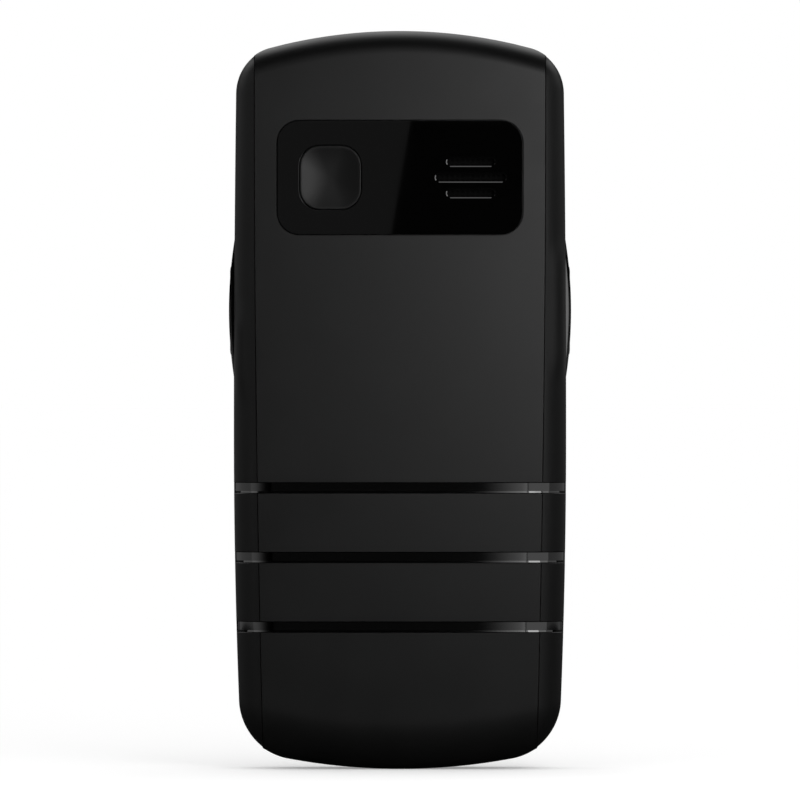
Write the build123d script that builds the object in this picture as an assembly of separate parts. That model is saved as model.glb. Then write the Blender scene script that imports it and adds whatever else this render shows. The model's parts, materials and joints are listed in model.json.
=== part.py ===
from build123d import *
import math
import os

# A bar-shaped feature phone with a snap-on back cover, a keypad and side keys, in millimetres.
# The phone stands upright on its lower end: +Z points up along its length, -Y points out of the back
# and +X points to the right of someone who looks at the back. The origin is in the middle of the
# phone's width and depth, at the height of the lowest point.

# Overall size
body_height = 117.0
body_width = 52.7
body_depth = 13.5

# Outline, seen from the back
widest_height = 53.0
lower_side_bow = 1.3
upper_side_bow = 0.5
bottom_end_radius = 97.0
bottom_corner_radius = 9.8
top_end_radius = 80.5
top_corner_radius = 7.6

# Back cover
cover_rim_depth = 4.25
cover_wall = 1.2
bottom_roll_length = 7.6
top_roll_length = 3.9
crease_half_width = 22.95
crease_narrowing = 1.46
crease_straight_height = 105.0
crease_step = 0.12
least_flank_width = 0.15
flank_start_slope_share = 0.4
flank_station_shares = (-0.02, 0.02, 0.04, 0.06, 0.085, 0.12, 0.2, 0.35, 0.5, 0.65, 0.8, 0.88,
                        0.92, 0.945, 0.965, 0.985, 1.02)
least_flank_depth = 0.6
corner_trim_height = 4.6

# Tongues inside the cover's rim, three on each side, which locate it on the frame
tongue_heights = (14.0, 38.0, 94.0)
tongue_length = 6.0
tongue_thickness = 0.9
tongue_reach = 1.2
tongue_root = 1.5
tongue_root_share = 0.5
tongue_gap = 0.1

# Window in the cover, and the panel behind it
window_width = 39.0
window_height = 18.2
window_corner_radius = 3.6
window_centre_height = 93.65
window_gap = 0.12
panel_recess = 0.15

# Loudspeaker slots in the panel: how far each is from the middle one, and its length as a share
slot_centre_x = 11.2
slot_pitch = 2.48
slot_height = 1.27
long_slot_length = 11.1
slot_length_shares = (0.68, 1.0, 0.68)

# Assist key in the panel
assist_key_x = -11.0
assist_key_width = 9.7
assist_key_height = 10.1
assist_key_corner_radius = 3.2
assist_key_dish_depth = 0.6
assist_key_travel = 0.3
assist_key_gap = 0.12
assist_key_rise = 0.1
assist_pocket_depth = 3.3
assist_flange_margin = 0.8
assist_flange_thickness = 0.65
assist_plunger_radius = 1.2
assist_switch_size = 4.0
assist_switch_height = 1.5
switch_corner_radius = 0.4
switch_cap_height = 0.5

# Three grooves across the cover, each with a glossy inlay on its floor
groove_heights = (44.6, 33.6, 22.6)
groove_width = 1.74
groove_depth = 0.45
groove_bevel = 0.3
inlay_recess = 0.2
inlay_glue_gap = 0.02
inlay_end_gap = 0.04

# Front housing
parting_gap = 0.12
key_rise = 0.4
face_thickness = 1.4
housing_wall = 1.4
front_edge_radius = 2.2
slip_gap = 0.2

# Middle frame
cover_to_frame_gap = 0.25
bay_width = 34.6
bay_height = 55.0
bay_bottom_height = 24.0
bay_floor_thickness = 1.55
bay_corner_radius = 1.0

# Battery and its contacts
battery_width = 34.0
battery_height = 54.0
battery_depth = 4.5
battery_edge_radius = 1.0
battery_end_cap = 3.0
battery_seat_gap = 0.1
contact_block_width = 10.0
contact_block_height = 2.6
contact_block_depth = 3.0
contact_blade_width = 1.2
contact_blade_pitch = 2.6
contact_blade_reach = 0.35
contact_blade_count = 3

# Circuit board
board_thickness = 1.0
board_margin = 0.5
board_notch_gap = 0.3

# Keypad, seen from the front: columns are the same in every row
column_pitch = 15.2
key_width = 13.6
number_key_height = 7.6
function_key_height = 6.1
lowest_row_height = 12.0
number_row_pitch = 8.9
function_row_gap = 1.25
key_corner_radius = 2.3
key_edge_radius = 0.5
key_gap = 0.15
key_travel = 0.4
key_play = 0.05
key_flange_margin = 0.45
key_flange_thickness = 0.8
plunger_radius = 1.0
dome_radius = 2.0
dome_height = 0.15
dome_sheet_thickness = 0.2
mat_thickness = 1.3
mat_gap = 0.5
mat_hole_radius = 2.3
plunger_gap = 0.05

# Display, its lens and the earpiece above it
lens_width = 43.0
lens_height = 48.4
lens_corner_radius = 3.0
lens_bottom_gap = 2.6
lens_thickness = 0.85
lens_recess = 0.08
lens_glue_gap = 0.02
lens_gap = 0.1
display_frame_margin = 0.5
display_width = 33.4
display_height = 43.6
module_width = 40.0
module_height = 47.6
module_depth = 2.3
display_rise = 0.3
gasket_width = 1.6
earpiece_drop = 6.3
earpiece_slot_length = 10.0
earpiece_slot_height = 1.4
earpiece_mesh_margin = 0.8
earpiece_mesh_thickness = 0.25
receiver_width = 12.0
receiver_height = 4.2
receiver_depth = 2.7
receiver_corner_radius = 1.4

# Side keys, one cluster on each side
side_key_centre_height = 72.7
side_bezel_length = 22.7
side_bezel_rise = 0.85
side_bezel_depth = 5.8
side_bezel_centre_y = 0.85
side_plug_margin = 0.7
side_key_length = 14.2
side_key_depth = 3.6
side_key_rise = 0.1
side_key_gap = 0.15
side_key_flange_margin = 0.9
side_key_flange_thickness = 0.7
side_key_inner_play = 0.4
side_key_travel = 0.3
side_switch_height = 1.2
side_switch_size = 3.0
side_switch_spacing = 8.0
side_flex_thickness = 0.3
side_seat_depth = 0.4

# Upper end: headset socket and torch
socket_x = -15.0
socket_y = -0.05
socket_bore_radius = 1.8
socket_wall = 0.3
socket_width = 5.8
socket_height = 12.5
socket_floor = 1.2
socket_nose_gap = 0.05
torch_y = 0.9
torch_radius = 2.3
torch_lens_gap = 0.1
torch_flange_margin = 0.6
torch_flange_thickness = 1.2
torch_lens_recess = 0.2
torch_lens_crown = 0.35
torch_led_width = 3.2
torch_led_depth = 2.2
torch_led_height = 1.4
torch_die_radius = 0.8
torch_die_height = 0.4
torch_led_gap = 0.8
torch_pocket_gap = 0.3

# Lower end: USB socket and microphone
usb_width = 7.5
usb_depth = 2.6
usb_length = 5.5
usb_shell = 0.3
usb_tongue_thickness = 0.6
usb_tongue_margin = 0.9
usb_recess = 0.5
usb_corner_radius = 0.6
usb_gap = 0.25
microphone_x = 7.8
microphone_height = 4.8
microphone_radius = 1.6
microphone_depth = 1.4
microphone_hole_radius = 0.45

# Loudspeaker behind the slots
speaker_width = 15.0
speaker_height = 11.0
speaker_depth = 3.2
speaker_corner_radius = 1.5
speaker_cone_radius = 3.6
speaker_hub_radius = 1.8
speaker_cone_depth = 0.5
speaker_gap = 0.2
speaker_mesh_thickness = 0.2
speaker_mesh_margin = 1.2

# Vibration motor with its off-centre weight
motor_x = -9.0
motor_height = 14.6
motor_radius = 2.0
motor_length = 8.0
motor_shaft_radius = 0.4
motor_shaft_gap = 0.05
motor_shaft_seat = 1.5
motor_weight_radius = 1.9
motor_weight_length = 3.2
motor_weight_gap = 0.6
motor_cover_gap = 0.25
motor_pocket_gap = 0.35

# Aerial on the lower end of the frame
aerial_x = 11.0
aerial_height = 14.8
aerial_width = 15.0
aerial_length = 12.0
aerial_thickness = 0.5
aerial_arm_width = 1.6
aerial_arm_gap = 1.6

# Card holders and shield in the floor of the battery bay
holder_gap = 0.25
holder_step_down = 0.15
sim_holder_width = 26.0
sim_holder_length = 16.4
sim_holder_height = 35.0
sim_opening_width = 13.0
sim_opening_length = 8.2
card_holder_width = 15.0
card_holder_length = 14.0
card_holder_height = 53.0
card_notch_radius = 3.8
shield_width = 24.0
shield_length = 12.6
shield_height = 69.6
holder_sheet = 0.25

# Screws that join the frame to the front housing, as places: x, height
upper_screw_x = 22.0
upper_screw_height = 104.5
lower_screw_x = 13.0
lower_screw_height = 4.9
screw_radius = 0.8
screw_length = 6.0
screw_head_radius = 1.4
screw_head_height = 0.9
screw_slot_width = 0.5
screw_slot_depth = 0.35
screw_gap = 0.08
boss_radius = 1.7
counterbore_depth = 2.4

# How far a cutting tool runs past the face that it cuts
overrun = 1.0

# Levels worked out from the sizes above
half_depth = body_depth / 2
back_face = -half_depth
parting = back_face + cover_rim_depth
front_face = half_depth - key_rise
front_inner = front_face - face_thickness
frame_back = back_face + cover_wall + cover_to_frame_gap
flange_front = front_inner - key_play
flange_back = flange_front - key_flange_thickness
mat_front = flange_back - mat_gap
mat_back = mat_front - mat_thickness
board_front = mat_back - dome_sheet_thickness
board_back = board_front - board_thickness
plunger_tip = mat_back + dome_height + key_travel + plunger_gap
bay_floor = board_back - bay_floor_thickness
bay_centre = bay_bottom_height + bay_height / 2
bay_top = bay_bottom_height + bay_height
battery_back = bay_floor - battery_seat_gap - battery_depth
contact_y = battery_back + battery_depth / 2
module_front = board_front + module_depth
lens_floor = front_face - lens_recess - lens_thickness - lens_glue_gap

# The panel in the window, the assist key and the loudspeaker
panel_front = back_face + panel_recess
assist_key_front = panel_front - assist_key_rise
assist_flange_back = frame_back + key_play
assist_flange_front = assist_flange_back + assist_flange_thickness
assist_floor = frame_back + assist_pocket_depth
assist_switch_top = assist_floor - assist_switch_height
assist_plunger_tip = assist_switch_top - assist_key_travel - plunger_gap
speaker_front = frame_back + speaker_mesh_thickness

# The keypad's rows, from the lowest one up, and the lens above them
number_rows = 4
row_heights = [lowest_row_height + row * number_row_pitch for row in range(number_rows)]
keypad_top = row_heights[-1] + number_key_height / 2
for function_row in range(2):
    row_heights.append(keypad_top + function_row_gap + function_key_height / 2)
    keypad_top = row_heights[-1] + function_key_height / 2
lens_centre_height = keypad_top + lens_bottom_gap + lens_height / 2
earpiece_height = body_height - earpiece_drop
row_names = (
    ("key_star", "key_0", "key_hash"),
    ("key_7", "key_8", "key_9"),
    ("key_4", "key_5", "key_6"),
    ("key_1", "key_2", "key_3"),
    ("call_key", "down_key", "end_key"),
    ("soft_key_left", "up_key", "soft_key_right"),
)

# The pieces at the two ends
end_reach = housing_wall + top_roll_length
socket_radius = socket_bore_radius + socket_wall
socket_top = (body_height - top_end_radius - socket_nose_gap
              + math.sqrt((top_end_radius - housing_wall) ** 2 - (abs(socket_x) + socket_width / 2) ** 2))
socket_mouth = (body_height - top_end_radius - socket_nose_gap
                + math.sqrt(top_end_radius ** 2 - (abs(socket_x) + socket_radius) ** 2))
socket_bottom = socket_top - socket_height
torch_flange_top = body_height - housing_wall - torch_lens_gap
torch_nose_top = body_height - torch_lens_recess - torch_lens_crown
torch_pocket_floor = (torch_flange_top - torch_flange_thickness - torch_led_gap - torch_die_height
                      - torch_led_height)
motor_y = frame_back + motor_cover_gap + motor_radius
screw_seat = frame_back + counterbore_depth
screw_places = [(side * upper_screw_x, upper_screw_height) for side in (-1, 1)]
screw_places += [(side * lower_screw_x, lower_screw_height) for side in (-1, 1)]


def slab(sketch, y_back, y_front):
    """A sketch of x and height, made solid from y_back to y_front."""
    return extrude(Plane.XZ.offset(-y_front) * sketch, amount=y_front - y_back)


def block(x_span, y_span, z_span):
    """A square-edged block between three pairs of limits."""
    size = [high - low for low, high in (x_span, y_span, z_span)]
    middle = [(high + low) / 2 for low, high in (x_span, y_span, z_span)]
    return Pos(*middle) * Box(*size)


def rounded(width, height, radius, x=0, z=0):
    """A rectangle with round corners, centred at x and a height."""
    return Pos(x, z) * RectangleRounded(width, height, radius)


def disc(radius, x=0, z=0):
    """A circle centred at x and a height."""
    return Pos(x, z) * Circle(radius)


def side_half_width(z):
    """Half the width between the bowed sides, before the corners are rounded."""
    if z < widest_height:
        return body_width / 2 - lower_side_bow * ((widest_height - z) / widest_height) ** 2
    upper_length = body_height - widest_height
    return body_width / 2 - upper_side_bow * ((z - widest_height) / upper_length) ** 2


def corner(end_radius, corner_radius, from_bottom):
    """Centre (x, height) of a corner arc that is tangent to the side and to the end, and where it meets
    the end."""
    end_centre = end_radius if from_bottom else body_height - end_radius
    outward = -1 if from_bottom else 1
    z = corner_radius if from_bottom else body_height - corner_radius
    for _ in range(4):
        x = side_half_width(z) - corner_radius
        z = end_centre + outward * math.sqrt((end_radius - corner_radius) ** 2 - x ** 2)
    meeting = (x * end_radius / (end_radius - corner_radius),
               end_centre + (z - end_centre) * end_radius / (end_radius - corner_radius))
    return (x, z), meeting


bottom_corner, bottom_meeting = corner(bottom_end_radius, bottom_corner_radius, True)
top_corner, top_meeting = corner(top_end_radius, top_corner_radius, False)


def half_width(z):
    """Half the width of the outline at a height, corners included."""
    for (x, centre), radius, meeting, outward in (
        (bottom_corner, bottom_corner_radius, bottom_meeting, -1),
        (top_corner, top_corner_radius, top_meeting, 1),
    ):
        if (meeting[1] - z) * outward < 0:
            return meeting[0]
        if (z - centre) * outward > 0:
            return x + math.sqrt(radius ** 2 - (z - centre) ** 2)
    return side_half_width(z)


# The side keys, measured outwards from the middle of the phone
side_wall_x = side_half_width(side_key_centre_height)
side_seat_x = side_wall_x - side_seat_depth
side_inner_x = side_wall_x - housing_wall
side_flange_outer_x = side_inner_x - side_key_inner_play
side_flange_inner_x = side_flange_outer_x - side_key_flange_thickness
side_switch_x = side_flange_inner_x - side_key_travel - plunger_gap
side_strip_x = side_switch_x - side_switch_height - side_flex_thickness
side_plug_half_length = side_bezel_length / 2 - side_plug_margin
side_plug_half_depth = side_bezel_depth / 2 - side_plug_margin
side_pocket_half_height = side_key_length / 2 + side_key_flange_margin + slip_gap + side_key_travel
side_pocket_half_depth = side_key_depth / 2 + side_key_flange_margin + slip_gap


def along(centre, radius, point):
    """The point at a radius from the centre, in the direction of another point."""
    reach = [p - c for p, c in zip(point, centre)]
    length = math.hypot(*reach)
    return tuple(c + r * radius / length for c, r in zip(centre, reach))


def corner_arc(centre, radius, meeting, from_bottom):
    """A corner of the outline from the end's arc round to the side, run upwards, and its two ends."""
    on_end = along(centre, radius, meeting)
    on_side = (centre[0] + radius, centre[1])
    middle = along(centre, radius, [(a + b) / 2 for a, b in zip(on_end, on_side)])
    first, last = (on_end, on_side) if from_bottom else (on_side, on_end)
    return ThreePointArc(first, middle, last), first, last


def outline(inset=0):
    """The phone's outline seen from the back, drawn in by inset."""
    lower, bottom_meets, bottom_side = corner_arc(
        bottom_corner, bottom_corner_radius - inset, bottom_meeting, True)
    upper, top_side, top_meets = corner_arc(
        top_corner, top_corner_radius - inset, top_meeting, False)
    widest = (body_width / 2 - inset, widest_height)
    sides = []
    for start, end in ((bottom_side, widest), (widest, top_side)):
        middle = (start[1] + end[1]) / 2
        sides.append(ThreePointArc(start, (side_half_width(middle) - inset, middle), end))
    right = [lower, *sides, upper]
    left = [mirror(edge, about=Plane.YZ) for edge in right]
    ends = (
        ThreePointArc((-bottom_meets[0], bottom_meets[1]), (0, inset), bottom_meets),
        ThreePointArc((-top_meets[0], top_meets[1]), (0, body_height - inset), top_meets),
    )
    return make_face([*right, *left, *ends])


def crease_x(z):
    """Half the distance between the two creases, which run nearly straight from end to end."""
    below = max(crease_straight_height - z, 0) / crease_straight_height
    return crease_half_width - crease_narrowing * below ** 2


def roll_depth(inward, length):
    """How far the cover's rolled end stands behind its rim, at a distance in from the end."""
    share = 1 - min(max(inward / length, 0), 1)
    return cover_rim_depth * math.sqrt(1 - share ** 2)


def strip_depth(x, z):
    """How far the cover's middle strip stands behind the rim."""
    from_bottom = bottom_end_radius - math.hypot(x, bottom_end_radius - z)
    from_top = top_end_radius - math.hypot(x, z - body_height + top_end_radius)
    return min(roll_depth(from_bottom, bottom_roll_length), roll_depth(from_top, top_roll_length))


def flank_section(z, inset):
    """The cover's cross-section at a height: a raised middle strip between two convex flanks."""
    crease = crease_x(z) - inset * flank_start_slope_share
    rim = max(half_width(z), crease_x(z) + least_flank_width) - inset
    crease = min(crease, rim - least_flank_width)
    depth = max(strip_depth(crease, z) - crease_step, least_flank_depth + inset) - inset
    chord = math.atan2(depth, rim - crease)
    slope = max(chord * flank_start_slope_share, 2 * chord - math.pi / 2)
    crease_y = parting - depth
    top = back_face - overrun
    tangent = (math.cos(slope), math.sin(slope))
    right = TangentArc((crease, crease_y), (rim, parting), tangent=tangent)
    left = TangentArc((-crease, crease_y), (-rim, parting), tangent=(-tangent[0], tangent[1]))
    lines = (
        Line((rim, parting), (-rim, parting)),
        Line((-crease, crease_y), (-crease, top)),
        Line((-crease, top), (crease, top)),
        Line((crease, top), (crease, crease_y)),
    )
    return Pos(0, 0, z) * make_face([right, lines[0], left, *lines[1:]])


def end_disc(end_radius, roll_length, from_bottom, inset):
    """A turned disc whose rounded edge rolls one end of the cover over."""
    centre = end_radius if from_bottom else body_height - end_radius
    radius = end_radius - inset
    back = back_face + inset
    roll = EllipticalCenterArc((radius - roll_length + inset, parting), roll_length - inset, parting - back,
                               start_angle=-90, arc_size=90)
    profile = make_face([
        roll,
        Line((radius, parting), (0, parting)),
        Line((0, parting), (0, back)),
        Line((0, back), (radius - roll_length + inset, back)),
    ])
    return Pos(0, 0, centre) * revolve(profile, Axis.Y)


def corner_waste(side, inset):
    """What lies outside a lower corner of the outline, below where the flank follows it."""
    place = Pos(side * (bottom_meeting[0] - inset + body_width / 2), (corner_trim_height - overrun) / 2)
    field = place * Rectangle(body_width, corner_trim_height + overrun)
    corner_disc = disc(bottom_corner_radius, side * (bottom_corner[0] - inset), bottom_corner[1])
    return slab(field - corner_disc, back_face - overrun, parting + overrun)


def cover_form(inset=0):
    """The solid bounded by the cover's outer surface drawn in by inset, down to its rim."""
    flanks = loft([flank_section(share * body_height, inset) for share in flank_station_shares])
    ends = (end_disc(bottom_end_radius, bottom_roll_length, True, inset)
            & end_disc(top_end_radius, top_roll_length, False, inset))
    return (flanks & ends) - corner_waste(-1, inset) - corner_waste(1, inset)


def tongue(side, z, margin=0):
    """A tongue inside the cover's rim: a root on the wall and a tip past the parting plane. A margin
    makes it the pocket in the frame, open towards the housing's wall and the way that the cover leaves."""
    half = tongue_length / 2
    rim = min(half_width(z - half), half_width(z + half))
    outer_x = rim - housing_wall - tongue_gap
    inner_x = outer_x - tongue_thickness - margin
    root_x = rim - cover_wall * tongue_root_share
    tip_x = rim if margin else outer_x
    root_y = back_face if margin else parting - tongue_root
    z_span = (z - half - margin, z + half + margin)
    root = block(sorted((side * inner_x, side * root_x)), (root_y, parting), z_span)
    tip = block(sorted((side * inner_x, side * tip_x)), (parting, parting + tongue_reach + margin), z_span)
    return root + tip


def rear_cover(outer, groove_floor):
    """The moulded cover: a hollow shell with a window, tongues and three grooves from rim to rim."""
    window = slab(rounded(window_width, window_height, window_corner_radius, z=window_centre_height),
                  back_face - overrun, parting)
    cover = outer - cover_form(cover_wall) - window
    for side in (-1, 1):
        for z in tongue_heights:
            cover += tongue(side, z)
    for z in groove_heights:
        band = block((-body_width, body_width), (back_face - overrun, parting),
                     (z - groove_width / 2, z + groove_width / 2))
        cover -= band - groove_floor
    return cover


def groove_inlays(groove_floor):
    """The glossy strips that lie on the floors of the grooves, upper one first."""
    layer = cover_form(inlay_recess) - groove_floor
    strips = []
    for z in groove_heights:
        top = z + groove_width / 2 - inlay_end_gap
        bottom = z - groove_width / 2 + groove_bevel
        strips.append(layer & block((-body_width, body_width), (back_face - overrun, parting),
                                    (bottom, top)))
    return strips


def assist_key_outline(margin=0):
    """The assist key seen from the back, grown by a margin."""
    return rounded(assist_key_width + 2 * margin, assist_key_height + 2 * margin,
                   assist_key_corner_radius + margin, assist_key_x, window_centre_height)


def rear_panel():
    """The glossy panel in the window, with the loudspeaker slots and the hole for the assist key."""
    face = rounded(window_width - 2 * window_gap, window_height - 2 * window_gap,
                   window_corner_radius - window_gap, z=window_centre_height)
    face -= assist_key_outline(assist_key_gap)
    for place, share in enumerate(slot_length_shares):
        z = window_centre_height + (place - 1) * slot_pitch
        face -= Pos(slot_centre_x, z) * SlotOverall(long_slot_length * share, slot_height)
    return slab(face, panel_front, frame_back)


def assist_key():
    """The key in the panel: a dished button on a wider flange, with a plunger towards its switch."""
    button = slab(assist_key_outline(), assist_key_front, assist_flange_back)
    half = assist_key_width / 2
    dish_radius = (half ** 2 + assist_key_dish_depth ** 2) / (2 * assist_key_dish_depth)
    dish_y = assist_key_front + assist_key_dish_depth - dish_radius
    button -= Pos(assist_key_x, dish_y, window_centre_height) * Sphere(dish_radius)
    flange = slab(assist_key_outline(assist_flange_margin), assist_flange_back, assist_flange_front)
    plunger = slab(disc(assist_plunger_radius, assist_key_x, window_centre_height),
                   assist_flange_front, assist_plunger_tip)
    return button + flange + plunger


def assist_switch():
    """The switch that the assist key presses, on the floor of its pocket."""
    base = slab(rounded(assist_switch_size, assist_switch_size, switch_corner_radius, assist_key_x,
                        window_centre_height), assist_switch_top + switch_cap_height, assist_floor)
    cap = slab(disc(assist_plunger_radius, assist_key_x, window_centre_height),
               assist_switch_top, assist_switch_top + switch_cap_height)
    return base + cap


def loudspeaker():
    """The loudspeaker: a rounded box with a ring round a cone."""
    body = slab(rounded(speaker_width, speaker_height, speaker_corner_radius, slot_centre_x,
                        window_centre_height), speaker_front, speaker_front + speaker_depth)
    ring = slab(disc(speaker_cone_radius, slot_centre_x, window_centre_height), speaker_front,
                speaker_front + speaker_cone_depth)
    hub = slab(disc(speaker_hub_radius, slot_centre_x, window_centre_height), speaker_front,
               speaker_front + speaker_cone_depth)
    return body - ring + hub


def speaker_mesh():
    """The dust mesh between the slots and the loudspeaker."""
    return slab(rounded(long_slot_length + speaker_mesh_margin, 2 * slot_pitch + slot_height
                        + speaker_mesh_margin, slot_height, slot_centre_x, window_centre_height),
                frame_back, frame_back + speaker_mesh_thickness)


def socket_box(margin=0, top=None):
    """The space of the headset socket's body, grown by a margin."""
    return block((socket_x - socket_width / 2 - margin, socket_x + socket_width / 2 + margin),
                 (socket_y - socket_radius - margin, socket_y + socket_radius + margin),
                 (socket_bottom - margin, top or socket_top))


def headset_socket():
    """The headset socket: a body with a nose that ends flush with the phone's upper end."""
    nose_length = socket_mouth - socket_top
    nose = Pos(socket_x, socket_y, socket_top + nose_length / 2) * Cylinder(socket_radius, nose_length)
    depth = socket_mouth - socket_bottom - socket_floor
    bore = Pos(socket_x, socket_y, socket_mouth - depth / 2) * Cylinder(socket_bore_radius, depth)
    return socket_box() + nose - bore


def torch_lens():
    """The torch's lens: a crowned nose through the housing on a wider flange."""
    flange = Pos(0, torch_y, torch_flange_top - torch_flange_thickness / 2) * Cylinder(
        torch_radius + torch_flange_margin, torch_flange_thickness)
    nose_length = torch_nose_top - torch_flange_top
    nose = Pos(0, torch_y, torch_flange_top + nose_length / 2) * Cylinder(torch_radius, nose_length)
    crown_radius = (torch_radius ** 2 + torch_lens_crown ** 2) / (2 * torch_lens_crown)
    ball = Pos(0, torch_y, torch_nose_top + torch_lens_crown - crown_radius) * Sphere(crown_radius)
    layer = Pos(0, torch_y, torch_nose_top + torch_lens_crown / 2) * Cylinder(torch_radius, torch_lens_crown)
    return flange + nose + (ball & layer)


def torch_led():
    """The torch's light-emitting diode, with its round die on top."""
    low = torch_pocket_floor
    package = block((-torch_led_width / 2, torch_led_width / 2),
                    (torch_y - torch_led_depth / 2, torch_y + torch_led_depth / 2),
                    (low, low + torch_led_height))
    die = Pos(0, torch_y, low + torch_led_height + torch_die_height / 2) * Cylinder(
        torch_die_radius, torch_die_height)
    return package + die


def usb_section(margin=0):
    """The USB socket seen along the phone's length, grown by a margin."""
    middle = board_back - usb_depth / 2
    return Pos(0, middle) * RectangleRounded(usb_width + 2 * margin, usb_depth + 2 * margin,
                                             usb_corner_radius + margin)


def usb_socket():
    """The USB socket: a sheet-metal mouth with a tongue inside."""
    mouth = usb_section() - Pos(0, board_back - usb_depth / 2) * RectangleRounded(
        usb_width - 2 * usb_shell, usb_depth - 2 * usb_shell, usb_corner_radius - usb_shell)
    shell = extrude(Pos(0, 0, usb_recess) * mouth, amount=usb_length)
    back = extrude(Pos(0, 0, usb_recess + usb_length - usb_shell) * usb_section(), amount=usb_shell)
    tongue_y = board_back - usb_depth / 2
    tongue = block((-usb_width / 2 + usb_tongue_margin, usb_width / 2 - usb_tongue_margin),
                   (tongue_y - usb_tongue_thickness / 2, tongue_y + usb_tongue_thickness / 2),
                   (usb_recess + usb_shell, usb_recess + usb_length - usb_shell))
    return shell + back + tongue


def microphone():
    """The microphone, a can on the board behind its hole."""
    return slab(disc(microphone_radius, microphone_x, microphone_height), board_front,
                board_front + microphone_depth)


def along_x(radius, x_low, x_high, y, z):
    """A round bar along X."""
    return Pos((x_low + x_high) / 2, y, z) * Rot(Y=90) * Cylinder(radius, x_high - x_low)


def vibration_motor():
    """The vibration motor's can, with a bore for its shaft."""
    can = along_x(motor_radius, motor_x, motor_x + motor_length, motor_y, motor_height)
    bore = along_x(motor_shaft_radius + motor_shaft_gap, motor_x - overrun,
                   motor_x + motor_shaft_seat + motor_shaft_gap, motor_y, motor_height)
    return can - bore


def motor_weight():
    """The off-centre weight of the vibration motor, hanging from its shaft."""
    low = motor_x - motor_weight_gap - motor_weight_length
    whole = along_x(motor_weight_radius, low, low + motor_weight_length, motor_y, motor_height)
    half = whole & block((low - overrun, motor_x), (motor_y - motor_radius, motor_y + motor_radius),
                         (motor_height - motor_radius, motor_height))
    shaft = along_x(motor_shaft_radius, low, motor_x + motor_shaft_seat, motor_y, motor_height)
    return half + shaft


def motor_pocket():
    """The trough in the frame for the motor, and the wider one for its weight."""
    weight_low = motor_x - motor_weight_gap - motor_weight_length - motor_pocket_gap
    weight_half = motor_weight_radius + motor_pocket_gap
    motor_half = motor_radius + motor_shaft_gap
    wide = block((weight_low, motor_x), (frame_back - overrun, motor_y + weight_half),
                 (motor_height - weight_half, motor_height + weight_half))
    narrow = block((motor_x, motor_x + motor_length + motor_shaft_gap),
                   (frame_back - overrun, motor_y + motor_half),
                   (motor_height - motor_half, motor_height + motor_half))
    return wide + narrow


def aerial():
    """The aerial: a flat conductor cut into a meander, on the frame's lower end."""
    plate = Pos(aerial_x, aerial_height) * Rectangle(aerial_width, aerial_length)
    pitch = aerial_arm_width + aerial_arm_gap
    cuts = int((aerial_width - aerial_arm_width) / pitch)
    for cut in range(cuts):
        x = aerial_x - aerial_width / 2 + aerial_arm_width + aerial_arm_gap / 2 + cut * pitch
        shift = aerial_arm_width if cut % 2 else -aerial_arm_width
        plate -= Pos(x, aerial_height + shift) * Rectangle(aerial_arm_gap, aerial_length)
    return slab(plate, frame_back, frame_back + aerial_thickness)


def screw(x, z):
    """A screw with a slotted head, driven from the back."""
    head_back = screw_seat - screw_head_height
    head = slab(disc(screw_head_radius, x, z), head_back, screw_seat)
    slot = slab(Pos(x, z) * Rectangle(2 * screw_head_radius + overrun, screw_slot_width),
                head_back - overrun, head_back + screw_slot_depth)
    return head - slot + slab(disc(screw_radius, x, z), screw_seat, screw_seat + screw_length)


def screw_clearance(x, z):
    """The hole and counterbore for one screw."""
    head = slab(disc(screw_head_radius + screw_gap, x, z), frame_back - overrun, screw_seat)
    return head + slab(disc(screw_radius + screw_gap, x, z), screw_seat - overrun,
                       screw_seat + screw_length + overrun)


def bay_window(width, length, z):
    """The opening in the floor of the battery bay round a holder that sits on the board."""
    return slab(rounded(width + 2 * holder_gap, length + 2 * holder_gap, bay_corner_radius, z=z),
                bay_floor - overrun, board_back)


def side_pocket(side):
    """The space behind a side key, for its flange, its switches and their strip."""
    half = side_pocket_half_height
    return block(sorted((side * side_strip_x, side * body_width)),
                 (side_bezel_centre_y - side_pocket_half_depth, board_front + overrun),
                 (side_key_centre_height - half, side_key_centre_height + half))


def middle_frame():
    """The frame that carries the battery, the board, the loudspeaker and the panel."""
    frame = cover_form(cover_wall + cover_to_frame_gap)
    frame += slab(outline(housing_wall + slip_gap), parting, board_back)
    frame -= slab(rounded(bay_width, bay_height, bay_corner_radius, z=bay_centre), frame_back - overrun,
                  bay_floor)
    frame -= bay_window(sim_holder_width, sim_holder_length, sim_holder_height)
    frame -= bay_window(card_holder_width, card_holder_length, card_holder_height)
    frame -= bay_window(shield_width, shield_length, shield_height)
    frame -= contact_box(holder_gap)
    frame -= slab(rounded(speaker_width + 2 * speaker_gap, speaker_height + 2 * speaker_gap,
                          speaker_corner_radius + speaker_gap, slot_centre_x, window_centre_height),
                  frame_back - overrun, speaker_front + speaker_depth)
    frame -= slab(assist_key_outline(assist_flange_margin + assist_key_gap), frame_back - overrun,
                  assist_floor)
    frame -= socket_box(torch_pocket_gap, body_height)
    torch_half = torch_radius + torch_flange_margin + torch_pocket_gap
    frame -= block((-torch_half, torch_half), (torch_y - torch_half, board_front),
                   (torch_pocket_floor, body_height))
    frame -= extrude(Pos(0, 0, -overrun) * usb_section(usb_gap),
                     amount=usb_recess + usb_length + usb_gap + overrun)
    frame -= motor_pocket()
    frame -= slab(Pos(aerial_x, aerial_height) * Rectangle(aerial_width + 2 * holder_gap,
                                                           aerial_length + 2 * holder_gap),
                  frame_back - overrun, frame_back + aerial_thickness)
    for side in (-1, 1):
        frame -= side_pocket(side)
        for z in tongue_heights:
            frame -= tongue(side, z, cover_to_frame_gap)
    for place in screw_places:
        frame -= screw_clearance(*place)
    return frame


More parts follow.
